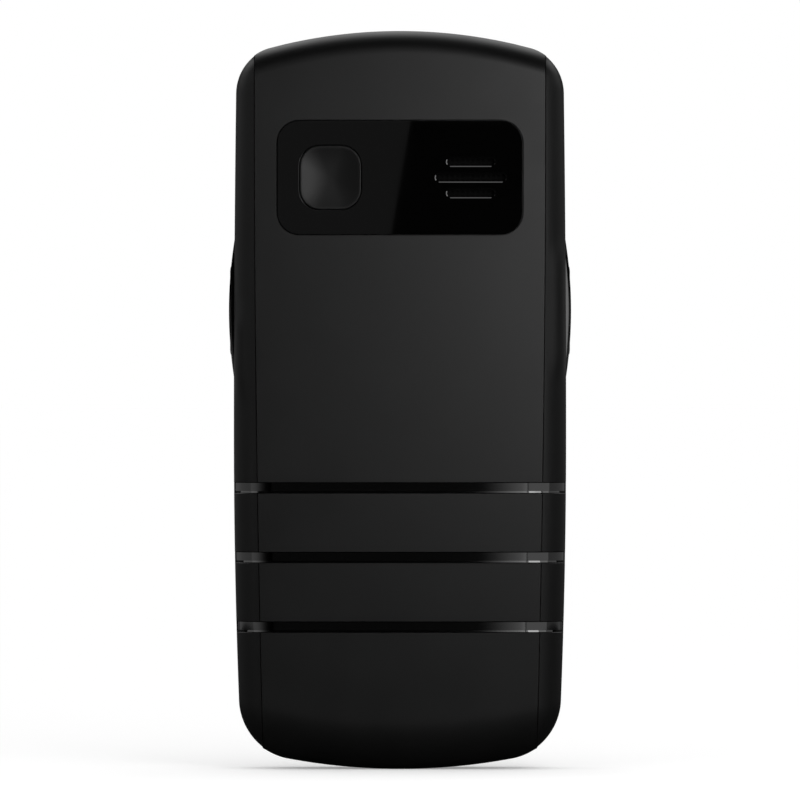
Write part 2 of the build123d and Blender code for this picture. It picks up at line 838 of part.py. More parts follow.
def contact_box(margin=0):
    """The space of the battery contacts' block, grown by a margin on every side but the bay's."""
    top = bay_top + contact_block_height + margin
    half = contact_block_width / 2 + margin
    return block((-half, half), (contact_y - contact_block_depth / 2 - margin, contact_y
                                 + contact_block_depth / 2 + margin), (bay_top, top))


def battery_contacts():
    """The sprung contacts above the battery bay: a block with blades that reach into the bay."""
    contacts = contact_box()
    for place in range(contact_blade_count):
        x = (place - (contact_blade_count - 1) / 2) * contact_blade_pitch
        contacts += block((x - contact_blade_width / 2, x + contact_blade_width / 2),
                          (contact_y - contact_blade_width, contact_y + contact_blade_width),
                          (bay_top - contact_blade_reach, bay_top))
    return contacts


def battery_can():
    """The battery's can, with rounded long edges, below its end cap."""
    low = bay_centre - battery_height / 2
    section = Pos(0, battery_back + battery_depth / 2) * RectangleRounded(
        battery_width, battery_depth, battery_edge_radius)
    return extrude(Pos(0, 0, low) * section, amount=battery_height - battery_end_cap)


def battery_end():
    """The plastic cap on the battery's upper end, with the windows of its contacts."""
    high = bay_centre + battery_height / 2
    section = Pos(0, battery_back + battery_depth / 2) * RectangleRounded(
        battery_width, battery_depth, battery_edge_radius)
    cap = extrude(Pos(0, 0, high - battery_end_cap) * section, amount=battery_end_cap)
    for place in range(contact_blade_count):
        x = (place - (contact_blade_count - 1) / 2) * contact_blade_pitch
        cap -= block((x - contact_blade_width / 2, x + contact_blade_width / 2),
                     (contact_y - contact_blade_width, contact_y + contact_blade_width),
                     (high - contact_blade_reach, high + overrun))
    return cap


def holder(width, length, z):
    """A pressed sheet holder on the board with a slot for a card, open towards the lower end."""
    low, high = bay_floor + holder_step_down, board_back
    shell = slab(rounded(width, length, bay_corner_radius, z=z), low, high)
    half = width / 2 - holder_sheet
    slot = block((-half, half), (low + holder_sheet, high - holder_sheet),
                 (z - length / 2 - overrun, z + length / 2 - bay_corner_radius))
    return shell - slot


def sim_holder():
    """The holder for the subscriber card, with a wide opening over the card's contacts."""
    opening = slab(rounded(sim_opening_width, sim_opening_length, bay_corner_radius, z=sim_holder_height),
                   bay_floor - overrun, bay_floor + holder_step_down + 2 * holder_sheet)
    return holder(sim_holder_width, sim_holder_length, sim_holder_height) - opening


def card_holder():
    """The holder for the memory card, with a notch to push the card by."""
    notch = slab(disc(card_notch_radius, z=card_holder_height - card_holder_length / 2),
                 bay_floor - overrun, bay_floor + holder_step_down + 2 * holder_sheet)
    return holder(card_holder_width, card_holder_length, card_holder_height) - notch


def shield_can():
    """The pressed can that shields the radio, hollow towards the board."""
    can = slab(rounded(shield_width, shield_length, bay_corner_radius, z=shield_height),
               bay_floor + holder_step_down, board_back)
    hollow = slab(rounded(shield_width - 2 * holder_sheet, shield_length - 2 * holder_sheet,
                          bay_corner_radius - holder_sheet, z=shield_height),
                  bay_floor + holder_step_down + holder_sheet, board_back)
    return can - hollow


def main_board():
    """The circuit board, notched for the socket, the torch and the side keys, and holed for the bosses."""
    board = slab(outline(housing_wall + board_margin), board_back, board_front)
    board -= socket_box(board_notch_gap, body_height)
    torch_half = torch_radius + torch_flange_margin + torch_pocket_gap
    board -= block((-torch_half, torch_half), (board_back, board_front), (torch_pocket_floor, body_height))
    for side in (-1, 1):
        board -= side_pocket(side)
    for x, z in screw_places:
        board -= slab(disc(boss_radius + board_notch_gap, x, z), board_back, board_front)
    return board


def key_places():
    """The name, x, height and key height of every key on the front."""
    for row, (z, names) in enumerate(zip(row_heights, row_names)):
        height = number_key_height if row < number_rows else function_key_height
        for column, name in enumerate(names):
            # The first name in a row is the left key for someone who looks at the front
            yield name, (1 - column) * column_pitch, z, height


def front_key(x, z, height):
    """A key of the front keypad: a soft-edged cap on a wider flange, with a plunger towards its dome."""
    cap = slab(rounded(key_width, height, key_corner_radius, x, z), flange_front, half_depth)
    cap = fillet(cap.faces().sort_by(Axis.Y)[-1].edges(), key_edge_radius)
    flange = slab(rounded(key_width + 2 * key_flange_margin, height + 2 * key_flange_margin,
                          key_corner_radius + key_flange_margin, x, z), flange_back, flange_front)
    return cap + flange + slab(disc(plunger_radius, x, z), plunger_tip, flange_back)


def keypad_area():
    """The field behind the keys, inside the housing and clear of the lower bosses."""
    low = row_heights[0] - number_key_height / 2 - key_flange_margin
    high = keypad_top + key_flange_margin
    half = column_pitch + key_width / 2 + key_flange_margin
    field = Pos(0, (low + high) / 2) * Rectangle(2 * half, high - low)
    return field & outline(housing_wall + slip_gap)


def dome_sheet():
    """The sheet of snap domes on the board, one dome under each key."""
    sheet = slab(keypad_area(), board_front, mat_back)
    for _, x, z, _ in key_places():
        sheet += slab(disc(dome_radius, x, z), mat_back, mat_back + dome_height)
    return sheet


def keypad_mat():
    """The mat between the domes and the keys, with a hole for each plunger."""
    face = keypad_area()
    for _, x, z, _ in key_places():
        face -= disc(mat_hole_radius, x, z)
    return slab(face, mat_back, mat_front)


def display_lens():
    """The clear lens over the display, in its recess in the housing."""
    return slab(rounded(lens_width - 2 * lens_gap, lens_height - 2 * lens_gap, lens_corner_radius - lens_gap,
                        z=lens_centre_height), lens_floor + lens_glue_gap, lens_floor + lens_glue_gap
                + lens_thickness)


def display_module():
    """The display module on the board, with its active area raised in a frame."""
    module = slab(rounded(module_width, module_height, bay_corner_radius, z=lens_centre_height), board_front,
                  module_front)
    active = rounded(display_width, display_height, bay_corner_radius, z=lens_centre_height)
    return module + slab(active, module_front, module_front + display_rise)


def display_gasket():
    """The foam frame that seals the display module against the housing."""
    outer = rounded(display_width + 2 * (display_frame_margin + gasket_width),
                    display_height + 2 * (display_frame_margin + gasket_width), gasket_width,
                    z=lens_centre_height)
    inner = rounded(display_width + 2 * display_frame_margin, display_height + 2 * display_frame_margin,
                    display_frame_margin, z=lens_centre_height)
    return slab(outer - inner, module_front, front_inner)


def earpiece_receiver():
    """The earpiece's receiver, on the board behind its slot."""
    return slab(rounded(receiver_width, receiver_height, receiver_corner_radius, z=earpiece_height),
                board_front, board_front + receiver_depth)


def earpiece_mesh_outline(margin=0):
    """The outline of the mesh behind the earpiece's slot, grown by a margin."""
    grown = earpiece_mesh_margin + margin
    return Pos(0, earpiece_height) * SlotOverall(earpiece_slot_length + 2 * grown,
                                                 earpiece_slot_height + 2 * grown)


def earpiece_mesh():
    """The fine mesh behind the earpiece's slot."""
    return slab(earpiece_mesh_outline(), front_inner, front_inner + earpiece_mesh_thickness)


def front_housing():
    """The front shell: soft front edge, keypad holes, display recess, bosses and all openings in its wall."""
    shell = slab(outline(), parting + parting_gap, front_face)
    shell = fillet(shell.faces().sort_by(Axis.Y)[-1].edges(), front_edge_radius)
    shell -= slab(outline(housing_wall), parting, front_inner)
    for x, z in screw_places:
        shell += slab(disc(boss_radius, x, z), board_back, front_inner + overrun / 2)
        shell -= slab(disc(screw_radius + screw_gap, x, z), board_back - overrun,
                      screw_seat + screw_length + screw_gap)
    for _, x, z, height in key_places():
        hole = rounded(key_width + 2 * key_gap, height + 2 * key_gap, key_corner_radius + key_gap, x, z)
        shell -= slab(hole, front_inner - overrun, front_face + overrun)
    shell -= slab(rounded(lens_width, lens_height, lens_corner_radius, z=lens_centre_height), lens_floor,
                  front_face + overrun)
    view = rounded(display_width + 2 * display_frame_margin, display_height + 2 * display_frame_margin,
                   bay_corner_radius, z=lens_centre_height)
    shell -= slab(view, front_inner - overrun, lens_floor + overrun)
    shell -= slab(Pos(0, earpiece_height) * SlotOverall(earpiece_slot_length, earpiece_slot_height),
                  front_inner - overrun, front_face + overrun)
    shell -= slab(earpiece_mesh_outline(holder_gap), front_inner - overrun,
                  front_inner + earpiece_mesh_thickness)
    shell -= slab(disc(microphone_hole_radius, microphone_x, microphone_height), front_inner - overrun,
                  front_face + overrun)
    nose_hole = socket_radius + socket_nose_gap
    shell -= Pos(socket_x, socket_y, body_height - end_reach / 2) * Cylinder(nose_hole, end_reach)
    shell -= Pos(0, torch_y, body_height - end_reach / 2) * Cylinder(torch_radius + torch_lens_gap, end_reach)
    shell -= extrude(Pos(0, 0, -overrun) * usb_section(usb_gap), amount=end_reach)
    for side in (-1, 1):
        shell -= side_recess(side)
    return shell


def side_section(z_half, y_half, x_low, x_high, side):
    """A block in a side wall, centred on the side keys."""
    return block(sorted((side * x_low, side * x_high)),
                 (side_bezel_centre_y - y_half, side_bezel_centre_y + y_half),
                 (side_key_centre_height - z_half, side_key_centre_height + z_half))


def side_recess(side):
    """The seat of a side bezel in the housing's wall, and the opening behind it."""
    seat = side_section(side_bezel_length / 2 + slip_gap, side_bezel_depth / 2 + slip_gap, side_seat_x,
                        body_width, side)
    opening = side_section(side_plug_half_length + side_key_gap, side_plug_half_depth + side_key_gap,
                           side_inner_x - overrun, side_seat_x + overrun, side)
    return seat + opening


def side_crescent(z_half, y_half, rise, x_low, side):
    """A block whose outer face is the crescent of the side bezel, raised further by a rise."""
    end_x = half_width(side_key_centre_height + side_bezel_length / 2)
    sagitta = side_wall_x + side_bezel_rise - end_x
    radius = ((side_bezel_length / 2) ** 2 + sagitta ** 2) / (2 * sagitta)
    centre_x = side_wall_x + side_bezel_rise - radius
    whole = slab(disc(radius + rise, side * centre_x, side_key_centre_height), side_bezel_centre_y - y_half,
                 side_bezel_centre_y + y_half)
    return whole & side_section(z_half, y_half, x_low, body_width, side)


def side_bezel(side):
    """The glossy crescent round a side key, with a plug through the housing's wall."""
    crescent = side_crescent(side_bezel_length / 2, side_bezel_depth / 2, 0, side_seat_x, side)
    plug = side_section(side_plug_half_length, side_plug_half_depth, side_inner_x, side_seat_x, side)
    window = side_section(side_key_length / 2 + side_key_gap, side_key_depth / 2 + side_key_gap,
                          side_inner_x - overrun, body_width, side)
    return crescent + plug - window


def side_key(side):
    """A side key: its outer face follows the crescent, and a flange holds it behind the wall."""
    cap = side_crescent(side_key_length / 2, side_key_depth / 2, side_key_rise, side_flange_outer_x, side)
    flange = side_section(side_key_length / 2 + side_key_flange_margin,
                          side_key_depth / 2 + side_key_flange_margin,
                          side_flange_inner_x, side_flange_outer_x, side)
    return cap + flange


def side_switches(side, places):
    """The strip behind a side key, with a switch at each place along it."""
    strip = side_section(side_pocket_half_height, side_pocket_half_depth, side_strip_x,
                         side_strip_x + side_flex_thickness, side)
    half = side_switch_size / 2
    for z in places:
        strip += block(sorted((side * (side_strip_x + side_flex_thickness), side * side_switch_x)),
                       (side_bezel_centre_y - half, side_bezel_centre_y + half), (z - half, z + half))
    return strip


def main():
    """Make every piece and write each one to its own file."""
    outer = cover_form()
    groove_floor = cover_form(groove_depth)
    inlay_floor = cover_form(groove_depth - inlay_glue_gap)
    pieces = {"rear_cover": rear_cover(outer, groove_floor)}
    for place, strip in zip(("upper", "middle", "lower"), groove_inlays(inlay_floor)):
        pieces[f"groove_inlay_{place}"] = strip
    pieces["rear_panel"] = rear_panel()
    pieces["assist_key"] = assist_key()
    pieces["assist_switch"] = assist_switch()
    pieces["loudspeaker"] = loudspeaker()
    pieces["speaker_mesh"] = speaker_mesh()
    pieces["middle_frame"] = middle_frame()
    pieces["battery_contacts"] = battery_contacts()
    pieces["battery_can"] = battery_can()
    pieces["battery_end"] = battery_end()
    pieces["sim_holder"] = sim_holder()
    pieces["card_holder"] = card_holder()
    pieces["shield_can"] = shield_can()
    pieces["vibration_motor"] = vibration_motor()
    pieces["motor_weight"] = motor_weight()
    pieces["aerial"] = aerial()
    pieces["frame_screws"] = Compound([screw(*place) for place in screw_places])
    pieces["main_board"] = main_board()
    pieces["dome_sheet"] = dome_sheet()
    pieces["keypad_mat"] = keypad_mat()
    for name, x, z, height in key_places():
        pieces[name] = front_key(x, z, height)
    pieces["display_module"] = display_module()
    pieces["display_gasket"] = display_gasket()
    pieces["display_lens"] = display_lens()
    pieces["earpiece_receiver"] = earpiece_receiver()
    pieces["earpiece_mesh"] = earpiece_mesh()
    pieces["front_housing"] = front_housing()
    pieces["volume_bezel"] = side_bezel(1)
    pieces["volume_rocker"] = side_key(1)
    pieces["volume_switches"] = side_switches(1, [side_key_centre_height + end * side_switch_spacing / 2
                                                  for end in (-1, 1)])
    pieces["lock_bezel"] = side_bezel(-1)
    pieces["lock_key"] = side_key(-1)
    pieces["lock_switch"] = side_switches(-1, [side_key_centre_height])
    pieces["headset_socket"] = headset_socket()
    pieces["torch_lens"] = torch_lens()
    pieces["torch_led"] = torch_led()
    pieces["usb_socket"] = usb_socket()
    pieces["microphone"] = microphone()
    os.makedirs("parts", exist_ok=True)
    for name, piece in pieces.items():
        export_step(piece, f"parts/{name}.step")


main()
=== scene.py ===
import json
import math

import bmesh
import bpy
from mathutils import Matrix, Vector
from mathutils.geometry import tessellate_polygon


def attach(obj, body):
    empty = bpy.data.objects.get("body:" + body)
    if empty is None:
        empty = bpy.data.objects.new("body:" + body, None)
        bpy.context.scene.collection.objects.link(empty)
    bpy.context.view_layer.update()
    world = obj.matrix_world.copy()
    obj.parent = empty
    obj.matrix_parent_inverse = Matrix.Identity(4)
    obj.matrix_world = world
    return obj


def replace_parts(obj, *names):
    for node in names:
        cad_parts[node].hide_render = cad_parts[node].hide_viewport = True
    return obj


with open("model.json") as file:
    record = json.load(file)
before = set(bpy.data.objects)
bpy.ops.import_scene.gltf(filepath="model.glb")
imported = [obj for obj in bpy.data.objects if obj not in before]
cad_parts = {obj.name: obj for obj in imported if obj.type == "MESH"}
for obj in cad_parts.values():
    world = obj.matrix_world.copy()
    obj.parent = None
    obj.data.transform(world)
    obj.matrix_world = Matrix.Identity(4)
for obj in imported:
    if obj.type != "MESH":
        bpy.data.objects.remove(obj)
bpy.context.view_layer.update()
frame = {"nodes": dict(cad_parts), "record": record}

# Looks of a bar-shaped feature phone that stands on its lower end. Sizes are in millimetres, and
# build() turns them into metres. +Z points up along the phone, -Y out of its back and +X to the right
# of someone who looks at the back.
MM = 0.001

# Overall size and outline, as in the model
body_height = 117.0
body_width = 52.7
back_face = -6.75
parting = -2.5
widest_height = 53.0
lower_side_bow = 1.3
upper_side_bow = 0.5
bottom_end_radius = 97.0
bottom_corner_radius = 9.8
top_end_radius = 80.5
top_corner_radius = 7.6

# Back cover
cover_rim_depth = 4.25
cover_wall = 1.2
bottom_roll_length = 7.6
top_roll_length = 3.9
crease_half_width = 22.95
crease_narrowing = 1.46
crease_straight_height = 105.0
crease_step = 0.12
crease_groove_width = 0.14
crease_groove_depth = 0.2
crease_groove_share = 0.3
crease_fade_width = 1.0
least_flank_width = 0.15
flank_slope_share = 0.4
roll_rows = 26
flank_columns = 16
strip_columns = 56
pod_swell = 0.35
pod_heights = {-1: (60.0, 72.0), 1: (63.0, 82.5)}
pod_start = (2.5, 3.0)
pod_end = (2.5, 2.5)
pod_rise_shares = (0.08, 0.5)
pod_fall_shares = (0.55, 1.0)
first_straight_height = 14.0
last_straight_height = 106.0
straight_row_spacing = 0.8
rows_between_grooves = 6
window_width = 39.0
window_height = 18.2
window_corner_radius = 3.6
window_centre = 93.65

# Grooves across the cover, and the inlays on their floors
groove_heights = (44.6, 33.6, 22.6)
groove_width = 1.74
groove_depth = 0.45
groove_bevel = 0.05
groove_edge = 0.05
inlay_recess = 0.2
inlay_glue_gap = 0.02
inlay_end_gap = 0.04
inlay_lip = 0.27
inlay_lip_rise = 0.062
inlay_ease_rounds = 28
inlay_sharp_angle = 8

# Glossy panel in the window, with its slots and the hole for the assist key
panel_recess = 0.15
panel_back = -5.3
panel_edge = 0.05
window_gap = 0.12
slot_x = 11.2
slot_pitch = 2.48
slot_height = 1.27
slot_lengths = (7.55, 11.1, 7.55)
slot_chamfer = 0.16
slot_chamfer_drop = 0.046

# Assist key
assist_x = -11.0
assist_width = 9.7
assist_height = 10.1
assist_corner_radius = 3.2
assist_gap = 0.12
assist_rise = 0.1
assist_edge = 0.14
assist_rim = 0.1
assist_dish = 0.64
assist_flange_margin = 0.8
assist_flange = (-5.25, -4.6)
assist_plunger_radius = 1.2
assist_plunger_tip = -3.85

# Side keys and the crescents round them
side_height = 72.7
side_y = 0.85
side_wall = 26.302
side_gap = 0.15
side_corner = 0.9
bezel_length = 22.7
bezel_half = 2.9
bezel_rise = 0.85
bezel_seat = 25.9
bezel_edge = 0.5
bezel_edge_share = 0.9
plug_seat = 24.9
plug_half = 2.2
plug_length = 21.3
side_key_length = 14.2
side_key_half = 1.8
side_key_rise = 0.1
side_key_edge = 0.3
side_flange_margin = 0.9
side_flange = (23.8, 24.5)

# Front keys, from the one nearest +X in each row of names
column_pitch = 15.2
key_width = 13.6
number_key_height = 7.6
function_key_height = 6.1
row_heights = (12.0, 20.9, 29.8, 38.7, 46.8, 54.15)
row_names = (
    ("key_star", "key_0", "key_hash"),
    ("key_7", "key_8", "key_9"),
    ("key_4", "key_5", "key_6"),
    ("key_1", "key_2", "key_3"),
    ("call_key", "down_key", "end_key"),
    ("soft_key_left", "up_key", "soft_key_right"),
)
number_rows = 4
key_corner_radius = 2.3
key_front = 6.75
key_crown = 0.28
key_edge_radius = 0.5
key_crown_drop = 0.03
key_flange_margin = 0.45
key_flange = (4.1, 4.9)
key_plunger_radius = 1.0
key_plunger_tip = 2.9
key_land = 1.0
print_thickness = 0.3
digit_size = 4.6
sign_size = 3.6
bar_sign = (3.6, 0.7, 0.3)
least_corner_radius = 0.1

# Meshes
weld_distance = 0.0005
sharp_angle = 32
plate_sharp_angle = 45
flat_normal = 0.9999


def side_half_width(z):
    """Half the width between the bowed sides, before the corners are rounded."""
    if z < widest_height:
        return body_width / 2 - lower_side_bow * ((widest_height - z) / widest_height) ** 2
    upper_length = body_height - widest_height
    return body_width / 2 - upper_side_bow * ((z - widest_height) / upper_length) ** 2


def corner_centre(end_radius, corner_radius, from_bottom):
    """Centre (x, z) of a corner arc that is tangent to the side and to the end."""
    end_centre = end_radius if from_bottom else body_height - end_radius
    outward = -1 if from_bottom else 1
    z = corner_radius if from_bottom else body_height - corner_radius
    for _ in range(4):
        x = side_half_width(z) - corner_radius
        z = end_centre + outward * math.sqrt((end_radius - corner_radius) ** 2 - x ** 2)
    return x, z


bottom_corner = corner_centre(bottom_end_radius, bottom_corner_radius, True)
top_corner = corner_centre(top_end_radius, top_corner_radius, False)
corners = ((bottom_corner, bottom_corner_radius, -1), (top_corner, top_corner_radius, 1))


def half_width(z):
    """Half the width of the outline at a height between its corners' ends."""
    for (centre_x, centre_z), radius, outward in corners:
        rise = (z - centre_z) * outward
        if rise > 0:
            return centre_x + math.sqrt(radius ** 2 - min(rise, radius) ** 2)
    return side_half_width(z)


def crease_x(z):
    """Half the distance between the two creases."""
    below = max(crease_straight_height - z, 0) / crease_straight_height
    return crease_half_width - crease_narrowing * below ** 2


def smooth_step(low, high, value):
    """0 below low, 1 above high and an even change between them."""
    share = min(max((value - low) / (high - low), 0), 1)
    return share * share * (3 - 2 * share)


def end_row(from_bottom, angle):
    """A row round a rolled end of the cover, at an angle up from its rim."""
    radius = bottom_end_radius if from_bottom else top_end_radius
    length = bottom_roll_length if from_bottom else top_roll_length

    def height(x, inset):
        reach = radius - length + (length - inset) * math.cos(angle)
        rise = math.sqrt(reach ** 2 - x ** 2)
        return radius - rise if from_bottom else body_height - radius + rise

    def depth(inset):
        return (cover_rim_depth - inset) * math.sin(angle)

    return height, depth, 0


def flat_row(z, dig=0):
    """A straight row across the cover, drawn in by dig."""
    return lambda x, inset: z, lambda inset: cover_rim_depth - inset, dig


def blend_row(roll, z, share):
    """A row between the upper end of a roll and a straight row."""
    return (lambda x, inset: roll[0](x, inset) * (1 - share) + z * share,
            lambda inset: cover_rim_depth - inset, 0)


def cover_rows():
    """The rows of the cover's surface, from the lower end to the upper end."""
    turn = math.pi / 2
    rows = [end_row(True, turn * step / roll_rows) for step in range(roll_rows + 1)]
    blends = 6
    rows += [blend_row(rows[-1], first_straight_height, step / blends) for step in range(1, blends + 1)]
    level = first_straight_height
    for z in sorted(groove_heights):
        low, high = z - groove_width / 2, z + groove_width / 2
        rows += [flat_row(level + (low - level) * step / rows_between_grooves)
                 for step in range(1, rows_between_grooves)]
        rows += [flat_row(low - groove_edge), flat_row(low, groove_edge),
                 flat_row(low + groove_bevel, groove_depth), flat_row(high, groove_depth),
                 flat_row(high, groove_edge), flat_row(high + groove_edge)]
        level = high + groove_edge
    rest = last_straight_height - level
    count = round(rest / straight_row_spacing)
    rows += [flat_row(level + rest * step / count) for step in range(1, count + 1)]
    top_roll = end_row(False, turn)
    rows += [blend_row(top_roll, last_straight_height, 1 - step / blends) for step in range(1, blends)]
    rows += [end_row(False, turn * (1 - step / roll_rows)) for step in range(roll_rows + 1)]
    return rows


def row_end(height, inset):
    """Where a row ends at the crease, or before it at the corner of the outline, and which one it is."""
    x = crease_half_width
    for _ in range(8):
        x = crease_x(height(x, inset)) - flank_slope_share * inset
    for (centre_x, centre_z), radius, outward in corners:
        z = height(x, inset)
        reach = radius - inset
        distance = math.hypot(x - centre_x, z - centre_z)
        if (z - centre_z) * outward > 0 and distance > reach - least_flank_width:
            low, high = centre_x, x
            for _ in range(40):
                middle = (low + high) / 2
                if math.hypot(middle - centre_x, height(middle, inset) - centre_z) < reach:
                    low = middle
                else:
                    high = middle
            if low < x - least_flank_width / 2:
                return low, False
    return x, True


def pod(side, z, share):
    """How far a flank swells beside the side keys, at a share of its way from the crease to the rim."""
    low, high = pod_heights[side]
    start = smooth_step(low - pod_start[0], low + pod_start[1], z)
    end = smooth_step(high - pod_end[0], high + pod_end[1], z)
    across = smooth_step(*pod_rise_shares, share) * (1 - smooth_step(*pod_fall_shares, share))
    return pod_swell * start * (1 - end) * across


def side_points(height, depth, dig, inset, side):
    """The points of one side of a row, from the middle strip's edge out to the rim, as x, depth, z."""
    inset = inset + dig
    x, on_crease = row_end(height, inset)
    z = height(x, inset)
    strip = depth(inset)
    if not on_crease:
        count = flank_columns + 2
        return [(x, strip * (1 - step / count), z) for step in range(count + 1)]
    rim = max(half_width(z) - inset, x + least_flank_width)
    groove = min(crease_groove_width, (rim - x) * crease_groove_share)
    cut = crease_groove_depth * groove / crease_groove_width if inset < cover_wall / 2 else 0
    step_down = crease_step * min(1, (rim - x) / crease_fade_width)
    points = [(x, strip, z), (x + groove / 2, strip - step_down / 2 - cut, z)]
    start_x, start = x + groove, strip - step_down
    chord = math.atan2(start, rim - start_x)
    slope = max(chord * flank_slope_share, 2 * chord - math.pi / 2)
    turn = 2 * (chord - slope)
    radius = math.hypot(start, rim - start_x) / (2 * math.sin(turn / 2))
    for step in range(flank_columns + 1):
        angle = slope + turn * step / flank_columns
        swell = pod(side, z, step / flank_columns) if inset < cover_wall / 2 else 0
        points.append((start_x + radius * (math.sin(angle) - math.sin(slope)) + swell * math.sin(angle),
                       start - radius * (math.cos(slope) - math.cos(angle)) + swell * math.cos(angle), z))
    return points


def cover_row(row, inset=0):
    """All points of a row of the cover's surface, drawn in by inset, from -X to +X."""
    height, depth, dig = row
    right = side_points(height, depth, dig, inset, 1)
    left = side_points(height, depth, dig, inset, -1)
    end = right[0][0]
    level = right[0][1]
    points = [(-x, parting - y, z) for x, y, z in reversed(left)]
    for step in range(1, strip_columns):
        x = end * (2 * step / strip_columns - 1)
        points.append((x, parting - level, height(x, inset + dig)))
    points += [(x, parting - y, z) for x, y, z in right]
    return points


def build(name, points, faces, material, body, slot, sharp=sharp_angle):
    """A mesh piece from points in millimetres, smooth but for its edges sharper than an angle in degrees."""
    mesh = bpy.data.meshes.new(name)
    mesh.from_pydata([Vector(point) * MM for point in points], [], faces)
    return finish_piece(name, mesh, material, body, slot, sharp)


def finish_piece(name, mesh, material, body, slot, sharp=sharp_angle):
    """A mesh in metres made into a piece that rides on a body."""
    form = bmesh.new()
    form.from_mesh(mesh)
    bmesh.ops.remove_doubles(form, verts=form.verts, dist=weld_distance * MM)
    bmesh.ops.dissolve_degenerate(form, edges=form.edges, dist=weld_distance * MM)
    bmesh.ops.recalc_face_normals(form, faces=form.faces)
    form.to_mesh(mesh)
    form.free()
    mesh.materials.clear()
    mesh.materials.append(material)
    mesh.shade_smooth()
    mesh.set_sharp_from_angle(angle=math.radians(sharp))
    piece = bpy.data.objects.new(name, mesh)
    bpy.context.scene.collection.objects.link(piece)
    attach(piece, body)
    return piece


def grid_faces(rows, columns, start=0, flip=False):
    """Faces of a grid of points that are kept row by row."""
    faces = []
    for row in range(rows - 1):
        for column in range(columns - 1):
            a = start + row * columns + column
            face = (a, a + 1, a + columns + 1, a + columns)
            faces.append(face[::-1] if flip else face)
    return faces


def closed_layer(outer, inner):
    """Points and faces of a closed layer between two grids with as many rows and columns."""
    rows, columns = len(outer), len(outer[0])
    points = [point for row in outer for point in row] + [point for row in inner for point in row]
    total = rows * columns
    faces = grid_faces(rows, columns) + grid_faces(rows, columns, total, True)
    border = list(range(columns))
    border += [row * columns + columns - 1 for row in range(1, rows)]
    border += [(rows - 1) * columns + column for column in range(columns - 2, -1, -1)]
    border += [row * columns for row in range(rows - 2, 0, -1)]
    for a, b in zip(border, border[1:] + border[:1]):
        faces.append((b, a, a + total, b + total))
    return points, faces


def rounded_outline(width, height, radius, x=0, z=0, steps=8):
    """Points of a rectangle with round corners, anticlockwise, centred at x and a height."""
    points = []
    for corner in range(4):
        sign_x = 1 if corner in (0, 3) else -1
        sign_z = 1 if corner in (0, 1) else -1
        centre = (x + sign_x * (width / 2 - radius), z + sign_z * (height / 2 - radius))
        for step in range(steps + 1):
            angle = math.pi / 2 * (corner + step / steps)
            points.append((centre[0] + radius * math.cos(angle), centre[1] + radius * math.sin(angle)))
    return points


def walls(rings, closed=False):
    """Points and faces of the walls between rings of points, and back to the first ring if closed."""
    count = len(rings[0])
    points = [point for ring in rings for point in ring]
    faces = []
    for ring in range(len(rings) if closed else len(rings) - 1):
        low, high = ring * count, (ring + 1) % len(rings) * count
        for a in range(count):
            b = (a + 1) % count
            faces.append((low + a, low + b, high + b, high + a))
    return points, faces


def stack(rings):
    """Points and faces of a solid from rings of points, closed with a face at each end."""
    points, faces = walls(rings)
    ends = [tuple(range(len(rings[0])))[::-1], tuple(range(len(points) - len(rings[0]), len(points)))]
    return points, faces + ends


def quarter_round(radius, steps=5):
    """Insets and drops of the points of a quarter round, from the side to the face."""
    turn = math.pi / 2
    return [(radius * (1 - math.cos(turn * step / steps)), radius * (1 - math.sin(turn * step / steps)))
            for step in range(steps + 1)]


def plate(name, rims, y_back, y_front, material, body, slot):
    """A flat plate between two planes. Each rim gives the points of an outline grown by a length, and the
    insets and drops of its edge towards y_front: the first is the plate's own, and the others are holes."""
    outward = 1 if y_front > y_back else -1
    form = bmesh.new()
    loops = []
    for place, (rim, edge) in enumerate(rims):
        inward = 1 if place else -1
        steps = [(0, y_back)] + [(inset * inward, y_front - outward * drop) for inset, drop in edge]
        rings = [[form.verts.new(Vector((x, y, z)) * MM) for x, z in rim(grown)] for grown, y in steps]
        count = len(rings[0])
        for low, high in zip(rings, rings[1:]):
            for a in range(count):
                b = (a + 1) % count
                form.faces.new((low[a], low[b], high[b], high[a]))
        loops.append((rings[0], rings[-1]))
    for cap in zip(*loops):
        vertices = [vertex for loop in cap for vertex in loop]
        flat = [[Vector((vertex.co.x, vertex.co.z, 0)) for vertex in loop] for loop in cap]
        for face in tessellate_polygon(flat):
            form.faces.new([vertices[place] for place in face])
    mesh = bpy.data.meshes.new(name)
    form.to_mesh(mesh)
    form.free()
    piece = finish_piece(name, mesh, material, body, slot, plate_sharp_angle)
    form = bmesh.new()
    form.from_mesh(piece.data)
    form.normal_update()
    for edge in form.edges:
        if len({abs(face.normal.y) > flat_normal for face in edge.link_faces}) > 1:
            edge.smooth = False
    form.to_mesh(piece.data)
    form.free()
    return piece


def rim_of(width, height, radius, x, z):
    """A rectangle with round corners, as a function that gives its points grown by a length."""
    return lambda grown: rounded_outline(width + 2 * grown, height + 2 * grown,
                                         max(radius + grown, least_corner_radius), x, z)


def ring_at(rim, grown, y):
    """A ring for stack(): a rim grown by a length, at a depth."""
    return [(x, y, z) for x, z in rim(grown)]


